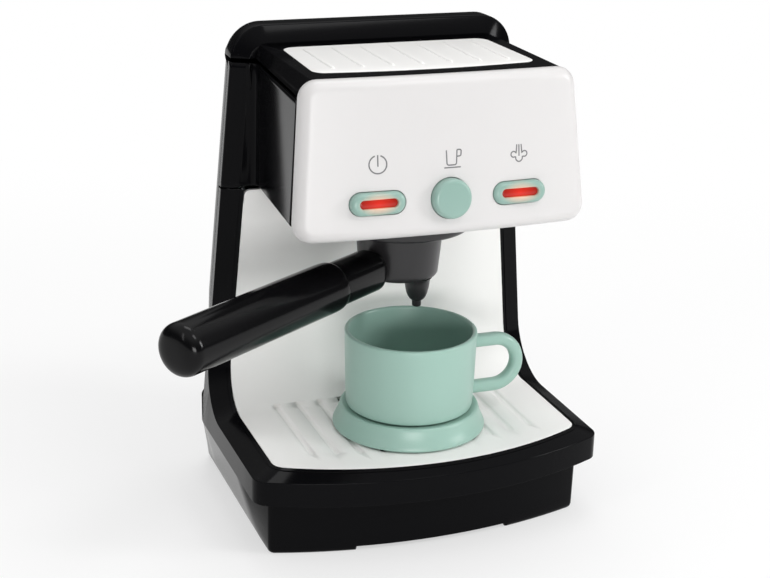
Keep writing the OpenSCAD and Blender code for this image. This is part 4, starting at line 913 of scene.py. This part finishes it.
loops = []
for inset, z in ((0.0, 224.2), (0.0, 225.8), (0.25, 226.15), (0.8, 226.3)):
    loops.append([(x, y, z) for x, y in warmer_outline(-inset)])
form = Skin()
form.rows(loops, closed=True)
form.ends(len(loops[0]))
for i in range(-3, 4):
    x = i * 14.3
    ridge = []
    for y, r in ((14.0, 0.05), (13.4, 0.55), (12.0, 0.8), (-29.0, 0.8), (-30.4, 0.55), (-31.0, 0.05)):
        arch = [math.pi * k / 6 for k in range(7)]
        ridge.append([(x + r * 1.3 * math.cos(a), y, 226.28 + r * 0.9 * math.sin(a)) for a in arch]
                     + [(x, y, 225.9)])
    form.rows(ridge, closed=True)
    n, round_n = len(form.points), len(ridge[0])
    first = n - round_n * len(ridge)
    form.faces.append(tuple(range(first, first + round_n)))
    form.faces.append(tuple(range(n - round_n, n))[::-1])
piece("cup_warmer_sheet", form.points, form.faces, white_satin, "white_satin", "machine",
      "warmer_tray", smooth=50.0)

# ---------------------------------------------------------------------------
# Rear cover
# A deep rounded black cover over the back of the column, held by six screws,
# with a row of seven upright slots over the speaker.
# ---------------------------------------------------------------------------

REAR_LOW = 44.0
REAR_TOP = BODY_H - 2.4
REAR_BACK_Y = 62.0
REAR_FRONT_Y = 38.4
REAR_HIGH_FRONT_Y = 44.9
ROOF_R = 6.0
SHOULDER_R = 13.0
rear_levels = [(z, 0.0, REAR_FRONT_Y)
               for z in (REAR_LOW, 56.0, 70.0, 100.0, 130.0, 160.0, 190.0, 208.0, 213.4)]
rear_levels += [(z, 0.0, y) for z, y in ((214.6, 38.7), (215.6, 39.5), (216.5, 40.8), (217.3, 42.4),
                                         (218.2, 43.9), (219.4, 44.7), (222.0, REAR_HIGH_FRONT_Y))]
for i in range(9):
    a = math.pi / 2 * i / 8
    rear_levels.append((REAR_TOP - ROOF_R + ROOF_R * math.sin(a), ROOF_R - ROOF_R * math.cos(a),
                        REAR_HIGH_FRONT_Y))
rear_rows = []
for z, inset, y_front in rear_levels:
    w = half_width(z) - 3.6 * max(0.0, 1.0 - (z - REAR_LOW) / 60.0) ** 1.5
    rise = z - (REAR_TOP - SHOULDER_R)
    if rise > 0:
        w -= SHOULDER_R - math.sqrt(max(SHOULDER_R ** 2 - rise * rise, 0.0))
    row = [(w, y_front)] + rear_arc(w, y_front, REAR_BACK_Y - inset, REAR_R - inset, steps=12)
    rear_rows.append([(x, y, z) for x, y in row])
rear_rows.append([(x, REAR_HIGH_FRONT_Y, z) for x, y, z in rear_rows[-1]])
skin = Skin()
skin.rows(rear_rows, flip=True)
skin.mirrored()
rear_cover = piece("rear_cover_moulding", skin.points, skin.faces, black_gloss, "black_gloss",
                   "machine", "rear_cover")
walled(rear_cover, 2.2)


def ring_line(cx, cv, r, steps=48):
    """Points round a circle."""
    return [(cx + r * math.cos(2 * math.pi * k / steps), cv + r * math.sin(2 * math.pi * k / steps))
            for k in range(steps)]


def tools_of(name, row_pairs):
    """One mesh of straight or tapered tools, each between two outlines of equal count."""
    tools = bmesh.new()
    for near, far in row_pairs:
        form = Skin()
        form.rows([near, far], closed=True)
        form.ends(len(near))
        data = bpy.data.meshes.new("tool")
        data.from_pydata([Vector(p) * MM for p in form.points], [], form.faces)
        tools.from_mesh(data)
    bmesh.ops.recalc_face_normals(tools, faces=tools.faces)
    out = bpy.data.meshes.new(name)
    tools.to_mesh(out)
    tools.free()
    return out


SCREW_X = 57.0
SPEAKER_Z = 105
wells = [[[(x + dx, y, z - dz) for dx, dz in ring_line(0.0, 0.0, r, 24)]
          for y, r in ((58.4, 2.7), (64.4, 2.9))]
         for x in (-SCREW_X, SCREW_X) for z in (72.0, 132.0, 203.0)]
slits = [[[(i * 5 + x, y, SPEAKER_Z + up) for x, up in stadium(22 - abs(i) * 3, 2.0)]
          for y in (55.0, 66.0)] for i in range(-3, 4)]
cut_with(rear_cover, tools_of("rear_holes", wells + slits))

# ---------------------------------------------------------------------------
# Front panel
# A bowed satin white moulding with soft edges, clipped over the head's end.
# Three holes pass the buttons; thin grey marks are printed over them.
# ---------------------------------------------------------------------------

PANEL_H = 71.63
PANEL_TOP_HALF = 65.2
PANEL_CORNER = 8.5
EDGE_R = 5.2
PANEL_WALL = 2.4
BUTTON_X = 33.9
BUTTON_V = 16.8 - PANEL_H / 2

side_lean = math.atan2(PANEL_LOW_HALF - PANEL_TOP_HALF, PANEL_H)
core_v = PANEL_H / 2 - PANEL_CORNER


def core_half(v):
    """Half width of the panel's inner field, drawn in by the corner radius."""
    edge = (PANEL_TOP_HALF + PANEL_LOW_HALF) / 2 - v * (PANEL_LOW_HALF - PANEL_TOP_HALF) / PANEL_H
    return edge - PANEL_CORNER / math.cos(side_lean)


ACROSS = 44
UP = 20
TURN = 8


def panel_loop(grow, drop):
    """Outline drawn out from the inner field by grow, its face lowered by drop."""
    out = []

    def add(x, v):
        out.append(panel_point(x, v, -panel_fall(min(abs(x), PANEL_LOW_HALF)) - drop))

    low, high = core_half(-core_v), core_half(core_v)
    tilt = math.degrees(side_lean)
    tilt_x, tilt_v = grow * math.cos(math.radians(tilt)), grow * math.sin(math.radians(tilt))
    for i in range(ACROSS):
        add(-low + 2 * low * i / ACROSS, -core_v - grow)
    for i in range(TURN):
        a = math.radians(-90.0 + (90.0 + tilt) * i / TURN)
        add(low + grow * math.cos(a), -core_v + grow * math.sin(a))
    for i in range(UP):
        v = -core_v + 2 * core_v * i / UP
        add(core_half(v) + tilt_x, v + tilt_v)
    for i in range(TURN):
        a = math.radians(tilt + (90.0 - tilt) * i / TURN)
        add(high + grow * math.cos(a), core_v + grow * math.sin(a))
    for i in range(ACROSS):
        add(high - 2 * high * i / ACROSS, core_v + grow)
    for i in range(TURN):
        a = math.radians(90.0 + (90.0 - tilt) * i / TURN)
        add(-high + grow * math.cos(a), core_v + grow * math.sin(a))
    for i in range(UP):
        v = core_v - 2 * core_v * i / UP
        add(-core_half(v) - tilt_x, v + tilt_v)
    for i in range(TURN):
        a = math.radians(180.0 - tilt + (90.0 + tilt) * i / TURN)
        add(-low + grow * math.cos(a), -core_v + grow * math.sin(a))
    return out


form = Skin()
field = []
for j in range(UP + 1):
    v = -core_v + 2 * core_v * j / UP
    w = core_half(v)
    field.append([panel_point(-w + 2 * w * i / ACROSS, v, -panel_fall(abs(-w + 2 * w * i / ACROSS)))
                  for i in range(ACROSS + 1)])
form.rows(field)
loops = [panel_loop(0.0, 0.0), panel_loop(1.6, 0.0)]
for i in range(9):
    a = math.pi / 2 * i / 8
    loops.append(panel_loop(PANEL_CORNER - EDGE_R + EDGE_R * math.sin(a), EDGE_R - EDGE_R * math.cos(a)))
loops.append(panel_loop(PANEL_CORNER, PANEL_SIDE))
form.rows(loops, closed=True, flip=True)
# The panel's white is the satin white made uniformly darker: painted shade, as the leaning panel takes more
# of the lamps' light than the sheet behind it.
panel_white_shaded = plastic("panel_white_shaded", (0.665, 0.652, 0.648), 0.34, shade=0.02, gloss=0.06, bump=0.05,
                      specular=0.4)
front_panel = piece("front_panel_moulding", form.points, form.faces, panel_white_shaded, "white_satin",
                    "machine", "front_panel", toward=(0, -1, 0), smooth=45.0)
walled(front_panel, 2.2)


def oval_line(cx, width, height, steps=14):
    """Outline of an oval button or lens on the panel, in across and up."""
    return [(cx + y, BUTTON_V + x) for x, y in stadium(width, height, steps)][::-1]


HOLE_W, HOLE_H, ROUND_HOLE_R = 26.3, 11.0, 9.45
hole_lines = [oval_line(-BUTTON_X, HOLE_W, HOLE_H), oval_line(BUTTON_X, HOLE_W, HOLE_H),
              ring_line(0.0, BUTTON_V, ROUND_HOLE_R)]
cut_with(front_panel, tools_of("panel_tools", [[[panel_point(x, v, depth) for x, v in line]
                                                for depth in (-12.0, 6.0)] for line in hole_lines]))

print_grey = plastic("printed_grey", (0.16, 0.16, 0.165), 0.5, shade=0.04, bump=0.02)


def printed(name, strokes, width):
    """Flat printed lines that lie on the bowed panel; strokes are lists of (x, v)."""
    form = Skin()
    for stroke, closed in strokes:
        n = len(stroke)
        rows = []
        for k, (x, v) in enumerate(stroke):
            x0, v0 = stroke[(k - 1) % n] if closed or k > 0 else stroke[k]
            x1, v1 = stroke[(k + 1) % n] if closed or k < n - 1 else stroke[k]
            dx, dv = x1 - x0, v1 - v0
            length = math.hypot(dx, dv) or 1.0
            nx, nv = -dv / length * width / 2, dx / length * width / 2
            row = []
            for side, lift in ((1, -0.05), (1, 0.03), (-1, 0.03), (-1, -0.05)):
                px, pv = x + side * nx, v + side * nv
                row.append(panel_point(px, pv, -panel_fall(px) + lift))
            rows.append(row)
        if closed:
            rows.append(rows[0])
        form.rows(rows, closed=True)
        if not closed:
            total = len(form.points)
            first = total - 4 * len(rows)
            form.faces += [tuple(range(total - 4, total)), tuple(range(first, first + 4))[::-1]]
    piece(name, form.points, form.faces, print_grey, "white_satin", "machine", smooth=60.0)


def arc(cx, cv, r, start, end, steps):
    """Points along an arc, its angles in degrees."""
    return [(cx + r * math.cos(math.radians(start + (end - start) * k / steps)),
             cv + r * math.sin(math.radians(start + (end - start) * k / steps))) for k in range(steps + 1)]


MARK_V = -1.9
power_mark = [(arc(-33.4, MARK_V, 4.0, 108.0, 432.0, 40), False),
              ([(-33.4, MARK_V - 0.9), (-33.4, MARK_V + 4.2)], False)]
cup_mark = [([(-1.6, MARK_V + 4.3), (-1.4, MARK_V - 1.2)] + arc(-0.4, MARK_V - 1.4, 1.0, 190.0, 270.0, 6)
             + arc(2.2, MARK_V - 1.4, 1.0, 270.0, 350.0, 6) + [(3.5, MARK_V + 4.3)], False),
            ([(3.5, MARK_V + 4.3), (4.8, MARK_V + 4.3)] + arc(4.8, MARK_V + 3.6, 0.7, 90.0, 0.0, 5)
             + [(5.4, MARK_V + 2.2)] + arc(4.6, MARK_V + 2.2, 0.8, 0.0, -90.0, 5)
             + [(3.4, MARK_V + 1.3)], False),
            ([(-2.7, MARK_V - 3.5), (5.2, MARK_V - 3.5)], False)]
steam_mark = [([(33.2, MARK_V + 4.5), (32.8, MARK_V + 0.4)] + arc(31.5, MARK_V + 0.1, 1.3, 40.0, 290.0, 18)
               + arc(34.3, MARK_V - 1.6, 1.7, 165.0, 375.0, 20)
               + arc(37.1, MARK_V + 0.1, 1.3, -110.0, 140.0, 18)
               + [(35.8, MARK_V + 0.4), (35.4, MARK_V + 4.5)], False),
              ([(34.3, MARK_V + 4.5), (34.3, MARK_V - 0.8)], False)]
printed("power_mark", power_mark, 0.62)
printed("cup_mark", cup_mark, 0.6)
printed("steam_mark", steam_mark, 0.6)

# ---------------------------------------------------------------------------
# Push buttons
# Satin mint caps with soft edges. The two oval ones carry a red lens that a
# lamp lights from behind; the round one in the middle stands out further.
# ---------------------------------------------------------------------------

mint_satin = plastic("mint_satin", (0.318, 0.490, 0.424), 0.32, shade=0.04, gloss=0.05, bump=0.05,
                     specular=0.45)
# The caps' mint is the satin mint made uniformly darker: painted shade, as the caps face the strong front
# lamp.
mint_cap_shaded = plastic("mint_cap_shaded", (0.268, 0.412, 0.362), 0.28, shade=0.04, gloss=0.05, bump=0.05,
                   specular=0.5)
OVAL_W, OVAL_H, LENS_W, LENS_H = 25.7, 10.4, 17.9, 3.9
ROUND_R = 9.1
OVAL_PROUD, ROUND_PROUD = 2.6, 4.4
OVAL_FACE = OVAL_PROUD - panel_fall(BUTTON_X)
LENS_WELL = 3.2
FLANGE_RIM, FLANGE_T, FLANGE_GAP = 1.0, 1.4, 0.3


def lamp_spread():
    """Node group: 1 at the middle of either oval button, falling to 0 at the given reach."""
    group = bpy.data.node_groups.new("lamp_spread", "ShaderNodeTree")
    for name, value in (("Reach across", 0.01), ("Reach up", 0.005), ("Falloff", 1.0)):
        item = group.interface.new_socket(name=name, in_out="INPUT", socket_type="NodeSocketFloat")
        item.default_value = value
    group.interface.new_socket(name="Share", in_out="OUTPUT", socket_type="NodeSocketFloat")
    new, link = group.nodes.new, group.links.new
    get = new("NodeGroupInput")
    put = new("NodeGroupOutput")
    where = new("ShaderNodeTexCoord")
    split = new("ShaderNodeSeparateXYZ")
    link(where.outputs["Object"], split.inputs[0])
    button_z = panel_point(0, BUTTON_V, 0)[2] * MM
    across = calc(group, "SUBTRACT", calc(group, "ABSOLUTE", split.outputs[0]), BUTTON_X * MM)
    across = calc(group, "DIVIDE", across, get.outputs["Reach across"])
    up = calc(group, "SUBTRACT", split.outputs[2], button_z)
    up = calc(group, "DIVIDE", up, get.outputs["Reach up"])
    squares = calc(group, "MULTIPLY", across, across), calc(group, "MULTIPLY", up, up)
    far = calc(group, "SQRT", calc(group, "ADD", *squares))
    near = calc(group, "SUBTRACT", 1.0, far, clamp=True)
    link(calc(group, "POWER", near, get.outputs["Falloff"]), put.inputs["Share"])
    return group


lamp_group = lamp_spread()


def lit(paint, across, up, falloff, colour, strength):
    """Gives a paint the lamp's light, strongest at the middle of the button."""
    tree = paint.node_tree
    shader = tree.nodes["Principled BSDF"]
    spread = tree.nodes.new("ShaderNodeGroup")
    spread.node_tree = lamp_group
    spread.inputs["Reach across"].default_value = across * MM
    spread.inputs["Reach up"].default_value = up * MM
    spread.inputs["Falloff"].default_value = falloff
    shade = tree.nodes.new("ShaderNodeMix")
    shade.data_type = "RGBA"
    shade.inputs[6].default_value = (0.0, 0.0, 0.0, 1.0)
    shade.inputs[7].default_value = (*colour, 1.0)
    tree.links.new(spread.outputs["Share"], shade.inputs[0])
    tree.links.new(shade.outputs[2], shader.inputs["Emission Color"])
    shader.inputs["Emission Strength"].default_value = strength


# The oval caps take a copy of the shaded mint, with the lamp's glow painted on it.
mint_lit = mint_cap_shaded.copy()
mint_lit.name = "mint_lit"
lit(mint_lit, 10.5, 5.2, 1.1, (1.0, 0.22, 0.05), 0.95)


def flange_face(reach):
    """Where the face of a cap's flange lies, clear of the panel's wall at its furthest reach."""
    return -PANEL_WALL - panel_fall(reach + FLANGE_RIM) - FLANGE_GAP


def cap_rows(outline, n_face, n_back, edge):
    """Rows from the flange up over the soft edge, for a cap of the given outline function."""
    rows = [(FLANGE_RIM, n_back - FLANGE_T), (FLANGE_RIM, n_back), (0.0, n_back)]
    for i in range(7):
        a = math.pi / 2 * i / 6
        rows.append((-edge + edge * math.cos(a), n_face - edge + edge * math.sin(a)))
    return [[panel_point(x, v, n) for x, v in outline(grow)] for grow, n in rows]


def oval_row(side, width, height, grow, n):
    """An oval row at one of the two buttons, grown all round, at n out of the panel."""
    line = oval_line(side * BUTTON_X, width + 2 * grow, height + 2 * grow)
    return [panel_point(x, v, n) for x, v in line]


def oval_cap(name, side, node):
    """An oval button's cap, with a well through it for its lens."""
    n_back = flange_face(BUTTON_X + OVAL_W / 2)

    def outline(grow):
        return oval_line(side * BUTTON_X, OVAL_W + 2 * grow, OVAL_H + 2 * grow)

    form = Skin()
    rows = cap_rows(outline, OVAL_FACE, n_back, 2.3)
    rows += [oval_row(side, LENS_W, LENS_H, grow, OVAL_FACE - depth)
             for grow, depth in ((0.5, 0.0), (0.2, 0.1), (0.05, 0.4), (0.05, LENS_WELL))]
    form.rows(rows, closed=True)
    form.rows([oval_row(side, LENS_W, LENS_H, 0.05, OVAL_FACE - LENS_WELL),
               oval_row(side, LENS_W, LENS_H, 0.05, n_back - FLANGE_T),
               oval_row(side, OVAL_W, OVAL_H, FLANGE_RIM, n_back - FLANGE_T)], closed=True)
    piece(name, form.points, form.faces, mint_lit, "mint_satin", node + "_body", node, smooth=50.0)


oval_cap("left_cap", -1, "left_button")
oval_cap("right_cap", 1, "right_button")


red_lens = plastic("red_lens", (0.085, 0.006, 0.004), 0.22, shade=0.1, bump=0.01, specular=0.4)
lit(red_lens, 12.0, 6.0, 0.8, (0.95, 0.035, 0.018), 0.78)


def lens(name, side, node, body):
    """The red window of an oval button."""
    rows = [oval_row(side, LENS_W, LENS_H, grow, OVAL_FACE - depth)
            for grow, depth in ((-0.1, 8.0), (-0.1, 1.3), (-0.4, 1.05), (-0.9, 0.95))]
    form = Skin()
    form.rows(rows, closed=True)
    form.ends(len(rows[0]))
    piece(name, form.points, form.faces, red_lens, "red_lens", body, node, smooth=50.0)


lens("left_window", -1, "left_lens", "left_button_body")
lens("right_window", 1, "right_lens", "right_button_body")


def round_line(grow):
    """Outline of the round button, grown all round."""
    return ring_line(0.0, BUTTON_V, ROUND_R + grow, 64)


form = Skin()
cap = cap_rows(round_line, ROUND_PROUD, flange_face(ROUND_R), 2.0)
for grow, rise in ((-4.5, 0.12), (-7.5, 0.18)):
    cap.append([panel_point(x, v, ROUND_PROUD + rise) for x, v in round_line(grow)])
form.rows(cap, closed=True)
form.ends(len(cap[0]))
piece("round_cap", form.points, form.faces, mint_cap_shaded, "mint_satin", "center_button_body",
      "center_button", smooth=50.0)

# ---------------------------------------------------------------------------
# Filter holder and its ring
# The ring is a dark grey moulding screwed under the head. The bowl with its
# spout hangs in it and turns with the long black handle.
# ---------------------------------------------------------------------------

dark_grey = plastic("dark_grey", (0.022, 0.021, 0.0225), 0.30, shade=0.12, gloss=0.08, bump=0.06,
                    specular=0.45)
GROUP_Y = -6.0
RING_Z = 143.5
RING_BORE_R = 17.06
RING_BORE_TOP = 152.4


def turned(profile, steps=96, centre=(0.0, GROUP_Y), top=None):
    """Surface of revolution from a profile of (radius, height); a height of None follows top."""
    form = Skin()
    rows = []
    for r, z in profile:
        row = []
        for k in range(steps):
            a = 2 * math.pi * k / steps
            x, y = centre[0] + r * math.cos(a), centre[1] + r * math.sin(a)
            row.append((x, y, top(y) if z is None else z))
        rows.append(row)
    form.rows(rows, closed=True)
    return form


ring_profile = [(RING_BORE_R, RING_BORE_TOP), (RING_BORE_R, RING_Z + 0.8), (17.6, RING_Z + 0.3),
                (18.2, RING_Z), (32.8, RING_Z), (34.0, RING_Z + 0.3), (34.8, RING_Z + 1.1),
                (35.0, RING_Z + 2.3), (35.0, None), (10.0, None), (10.0, RING_BORE_TOP),
                (RING_BORE_R, RING_BORE_TOP)]
form = turned(ring_profile, top=lambda y: head_floor(y) - 0.1)
piece("group_ring_moulding", form.points, form.faces, dark_grey, "dark_grey", "machine",
      "group_ring", smooth=40.0)

BOWL_Z = 118.2
NECK_R = 17.0
NECK_TOP = 151.6
bowl_profile = [(r, BOWL_Z + rise) for r, rise in (
    (0.0, 0.0), (16.0, 0.0), (17.6, 0.15), (18.7, 0.7), (19.3, 1.7), (19.45, 3.2), (20.4, 13.0),
    (21.3, 23.6), (21.35, 24.4), (21.1, 24.8), (20.6, 25.0), (NECK_R, 25.0))]
bowl_profile += [(NECK_R, NECK_TOP), (0.0, NECK_TOP)]
form = turned(bowl_profile)
piece("filter_bowl_moulding", form.points, form.faces, dark_grey, "dark_grey", "filter_holder",
      "filter_bowl", smooth=35.0)

HANDLE_ASIDE = 56.0
SPOUT_ASIDE = 11.4
HANDLE_TURN = math.radians(270.0 - HANDLE_ASIDE)
HANDLE_Z = BOWL_Z + 7.2
handle_dir = Vector((math.cos(HANDLE_TURN), math.sin(HANDLE_TURN), 0.0))
handle_side = Vector((-math.sin(HANDLE_TURN), math.cos(HANDLE_TURN), 0.0))
handle_origin = Vector((0.0, GROUP_Y, HANDLE_Z))

spout_x = SPOUT_ASIDE * math.cos(HANDLE_TURN + math.pi / 2)
spout_y = GROUP_Y + SPOUT_ASIDE * math.sin(HANDLE_TURN + math.pi / 2)
spout_profile = [(r, BOWL_Z - drop) for r, drop in (
    (0.0, 15.0), (1.7, 15.0), (2.1, 14.7), (2.25, 14.0), (2.35, 11.9), (2.8, 11.5), (3.6, 10.9),
    (4.5, 9.6), (5.2, 7.8), (5.75, 5.4), (6.1, 3.0), (6.3, 1.0), (6.7, 0.2), (7.2, -0.1), (0.0, -0.3))]
form = turned(spout_profile, steps=64, centre=(spout_x, spout_y))
piece("spout_moulding", form.points, form.faces, dark_grey, "dark_grey", "filter_holder", "spout",
      smooth=35.0)

black_grip = plastic("black_grip", (0.0032, 0.0032, 0.0036), 0.16, gloss=0.05, bump=0.02,
                     specular=0.16)


def along_handle(profile, square, steps=96):
    """Rows round the handle's axis; the profile gives (distance, radius) of a section that square."""
    power = 2.0 + 3.0 * square
    rows = []
    for t, r in profile:
        row = []
        for k in range(steps):
            a = 2 * math.pi * k / steps
            c, s = math.cos(a), math.sin(a)
            swell = (abs(c) ** power + abs(s) ** power) ** (-1.0 / power)
            spot = handle_origin + handle_dir * t + (handle_side * c + Vector((0, 0, s))) * r * swell
            row.append(tuple(spot))
        rows.append(row)
    return rows


core_profile = [(17.0, 0.0), (17.0, 6.5), (21.75, 6.5), (21.75, 7.3), (22.0, 8.2), (22.7, 9.1),
                (23.8, 9.6), (25.4, 9.8), (52.9, 9.8), (52.9, 0.0)]
form = Skin()
form.rows(along_handle(core_profile, 0.2), closed=True)
piece("handle_neck", form.points, form.faces, black_grip, "black_grip", "filter_holder",
      "handle_core", smooth=35.0)
GRIP_R = 12.0
GRIP_END = 161.0
GRIP_NOSE = 6.5
grip_profile = [(53.0, 0.0), (53.0, 9.9), (53.1, 10.4), (53.5, 10.9), (54.2, 11.4), (55.4, 11.75),
                (57.0, 11.9), (60.0, GRIP_R), (120.0, GRIP_R)]
for i in range(18):
    a = math.pi / 2 * i / 18
    grip_profile.append((GRIP_END - GRIP_NOSE + GRIP_NOSE * math.sin(a) ** 0.9,
                         GRIP_R * math.cos(a) ** 0.62))
grip_profile.append((GRIP_END, 0.0))
form = Skin()
form.rows(along_handle(grip_profile, 0.0), closed=True)
piece("handle_grip_moulding", form.points, form.faces, black_grip, "black_grip", "filter_holder",
      "handle_grip", smooth=28.0)

# ---------------------------------------------------------------------------
# Cup and saucer
# Thin satin mint mouldings. The cup has a round ring handle and stands in a
# shallow dish on top of the saucer's steep shoulder.
# ---------------------------------------------------------------------------

SAUCER_R = 37.4
CUP_Y = SWEEP_Y + 6.2 - SAUCER_R
cup_low, cup_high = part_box("cup")
CUP_Z = cup_low.z / MM
CUP_TOP = cup_high.z / MM
CUP_R = 32.2
saucer_low, saucer_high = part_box("saucer")
SAUCER_Z = saucer_low.z / MM
SAUCER_TOP = saucer_high.z / MM
foot_r = CUP_R - 3.1
low_r = CUP_R - 1.1

cup_profile = [(0.0, CUP_Z + 1.2)]
cup_profile += [(foot_r + out, CUP_Z + rise) for out, rise in (
    (-2.4, 1.2), (-2.1, 0.3), (-1.8, 0.0), (-0.3, 0.0), (0.0, 0.2), (0.2, 0.8))]
cup_profile += [(low_r + out, CUP_Z + rise) for out, rise in (
    (-0.9, 0.95), (-0.3, 1.3), (0.0, 2.2), (0.5, 16.0))]
cup_profile += [(CUP_R - inset, CUP_TOP - drop) for inset, drop in (
    (0.15, 4.0), (0.0, 1.2), (0.15, 0.5), (0.55, 0.12), (1.1, 0.0), (1.7, 0.12), (2.15, 0.55), (2.3, 1.3))]
cup_profile += [(low_r - inset, CUP_Z + rise) for inset, rise in (
    (2.2, 16.0), (2.4, 9.0), (2.8, 6.6), (3.8, 4.8), (5.6, 3.7), (9.0, 3.2))]
cup_profile.append((0.0, CUP_Z + 3.2))
form = turned(cup_profile, steps=128, centre=(0.0, CUP_Y))
piece("cup_moulding", form.points, form.faces, mint_satin, "mint_satin", "cup_body", "cup",
      smooth=40.0)
LOOP_X, LOOP_R = 44.6, 12.2
LOOP_Z = CUP_TOP - 38.4 * 0.59
LOOP_STEPS = 20
LOOP_POWER = 2.6
loop_feet = (CUP_R - 1.4, CUP_R + 2.0, 40.0)
path = [(x, LOOP_R, math.pi / 2) for x in loop_feet]
path += [(LOOP_X + LOOP_R * math.cos(a), LOOP_R * math.sin(a), a)
         for a in [math.pi / 2 - math.pi * k / 36 for k in range(37)]]
path += [(x, -LOOP_R, -math.pi / 2) for x in reversed(loop_feet)]
rows = []
for x, z, way in path:
    row = []
    for k in range(LOOP_STEPS):
        b = 2 * math.pi * k / LOOP_STEPS
        cb, sb = math.cos(b), math.sin(b)
        swell = (abs(cb) ** LOOP_POWER + abs(sb) ** LOOP_POWER) ** (-1.0 / LOOP_POWER)
        out = 3.2 * cb * swell
        row.append((x + out * math.cos(way), CUP_Y + 3.3 * sb * swell, LOOP_Z + z + out * math.sin(way)))
    rows.append(row)
form = Skin()
form.rows(rows, closed=True)
form.ends(LOOP_STEPS)
piece("cup_ring_handle", form.points, form.faces, mint_satin, "mint_satin", "cup_body", smooth=50.0)

dish_r = CUP_R + 0.4
DISH_FLAT_R = 20.0
floor_z = SAUCER_TOP - (dish_r - DISH_FLAT_R) * math.tan(math.radians(10.0))
saucer_profile = [(SAUCER_R - inset, SAUCER_Z + rise) for inset, rise in (
    (4.8, 0.1), (3.8, 0.0), (0.6, 0.6), (0.15, 0.8), (0.0, 1.2), (0.05, 1.7), (0.4, 2.6), (0.9, 3.7),
    (1.5, 4.9), (2.1, 6.4), (2.6, 7.9), (3.0, 9.2))]
saucer_profile += [(SAUCER_R - inset, SAUCER_TOP - drop) for inset, drop in (
    (3.3, 0.75), (3.6, 0.3), (4.0, 0.06))]
saucer_profile += [(dish_r + 0.2, SAUCER_TOP), (dish_r - 0.3, SAUCER_TOP - 0.1), (DISH_FLAT_R, floor_z),
                   (0.0, floor_z), (0.0, floor_z - 2.0), (DISH_FLAT_R, floor_z - 2.0),
                   (dish_r - 1.7, SAUCER_TOP - 2.6), (SAUCER_R - 4.5, SAUCER_Z + 4.0), saucer_profile[0]]
form = turned(saucer_profile, steps=128, centre=(0.0, CUP_Y))
piece("saucer_moulding", form.points, form.faces, mint_satin, "mint_satin", "saucer_body", "saucer",
      smooth=40.0)

# ---------------------------------------------------------------------------
# Underside, fasteners and inner parts
# A fine matt bottom plate with its battery lid, soft feet, plated screws, and
# the board, lamps, cells, contacts, speaker and leads inside the shells.
# ---------------------------------------------------------------------------

black_plate = plastic("black_plate", (0.020, 0.020, 0.022), 0.55, shade=0.2, gloss=0.15, grain=1600.0,
                      bump=0.35, specular=0.4)
foot_rubber = plastic("foot_rubber", (0.030, 0.030, 0.031), 0.75, shade=0.25, gloss=0.1, grain=1200.0,
                      bump=0.4, specular=0.3)
screw_steel = plastic("screw_steel", (0.60, 0.61, 0.63), 0.30, shade=0.15, gloss=0.2, patch=300.0,
                      bump=0.1, metallic=1.0)
board_green = plastic("board_green", (0.012, 0.10, 0.035), 0.35, shade=0.3, patch=220.0, bump=0.15)
led_clear = plastic("led_clear", (0.80, 0.12, 0.05), 0.12, shade=0.1, bump=0.02)
switch_black = plastic("switch_black", (0.020, 0.020, 0.022), 0.5, shade=0.2, bump=0.2)
speaker_grey = plastic("speaker_grey", (0.045, 0.045, 0.048), 0.7, shade=0.3, patch=260.0, bump=0.5)
cell_wrap = plastic("cell_wrap", (0.52, 0.33, 0.06), 0.3, shade=0.08, bump=0.03)
contact_nickel = plastic("contact_nickel", (0.62, 0.61, 0.58), 0.28, shade=0.15, gloss=0.2, patch=260.0,
                         bump=0.1, metallic=1.0)
lead_red = plastic("lead_red", (0.42, 0.02, 0.015), 0.45, shade=0.1, bump=0.1)
lead_blue = plastic("lead_blue", (0.02, 0.07, 0.35), 0.45, shade=0.1, bump=0.1)
inner_paints = {
    "base_plate": black_plate, "battery_door": black_plate, "feet": foot_rubber,
    "circuit_board": board_green, "leds": led_clear, "switches": switch_black,
    "board_screws": screw_steel, "speaker": speaker_grey, "batteries": cell_wrap,
    "battery_contacts": contact_nickel, "battery_wires": lead_red, "speaker_wires": lead_blue,
    "ring_screws": screw_steel, "handle_screw": screw_steel, "base_screws": screw_steel,
    "rear_screws": screw_steel, "head_screws": screw_steel, "door_screw": screw_steel,
}
for node, paint in inner_paints.items():
    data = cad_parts[node].data
    data.materials.clear()
    data.materials.append(paint)
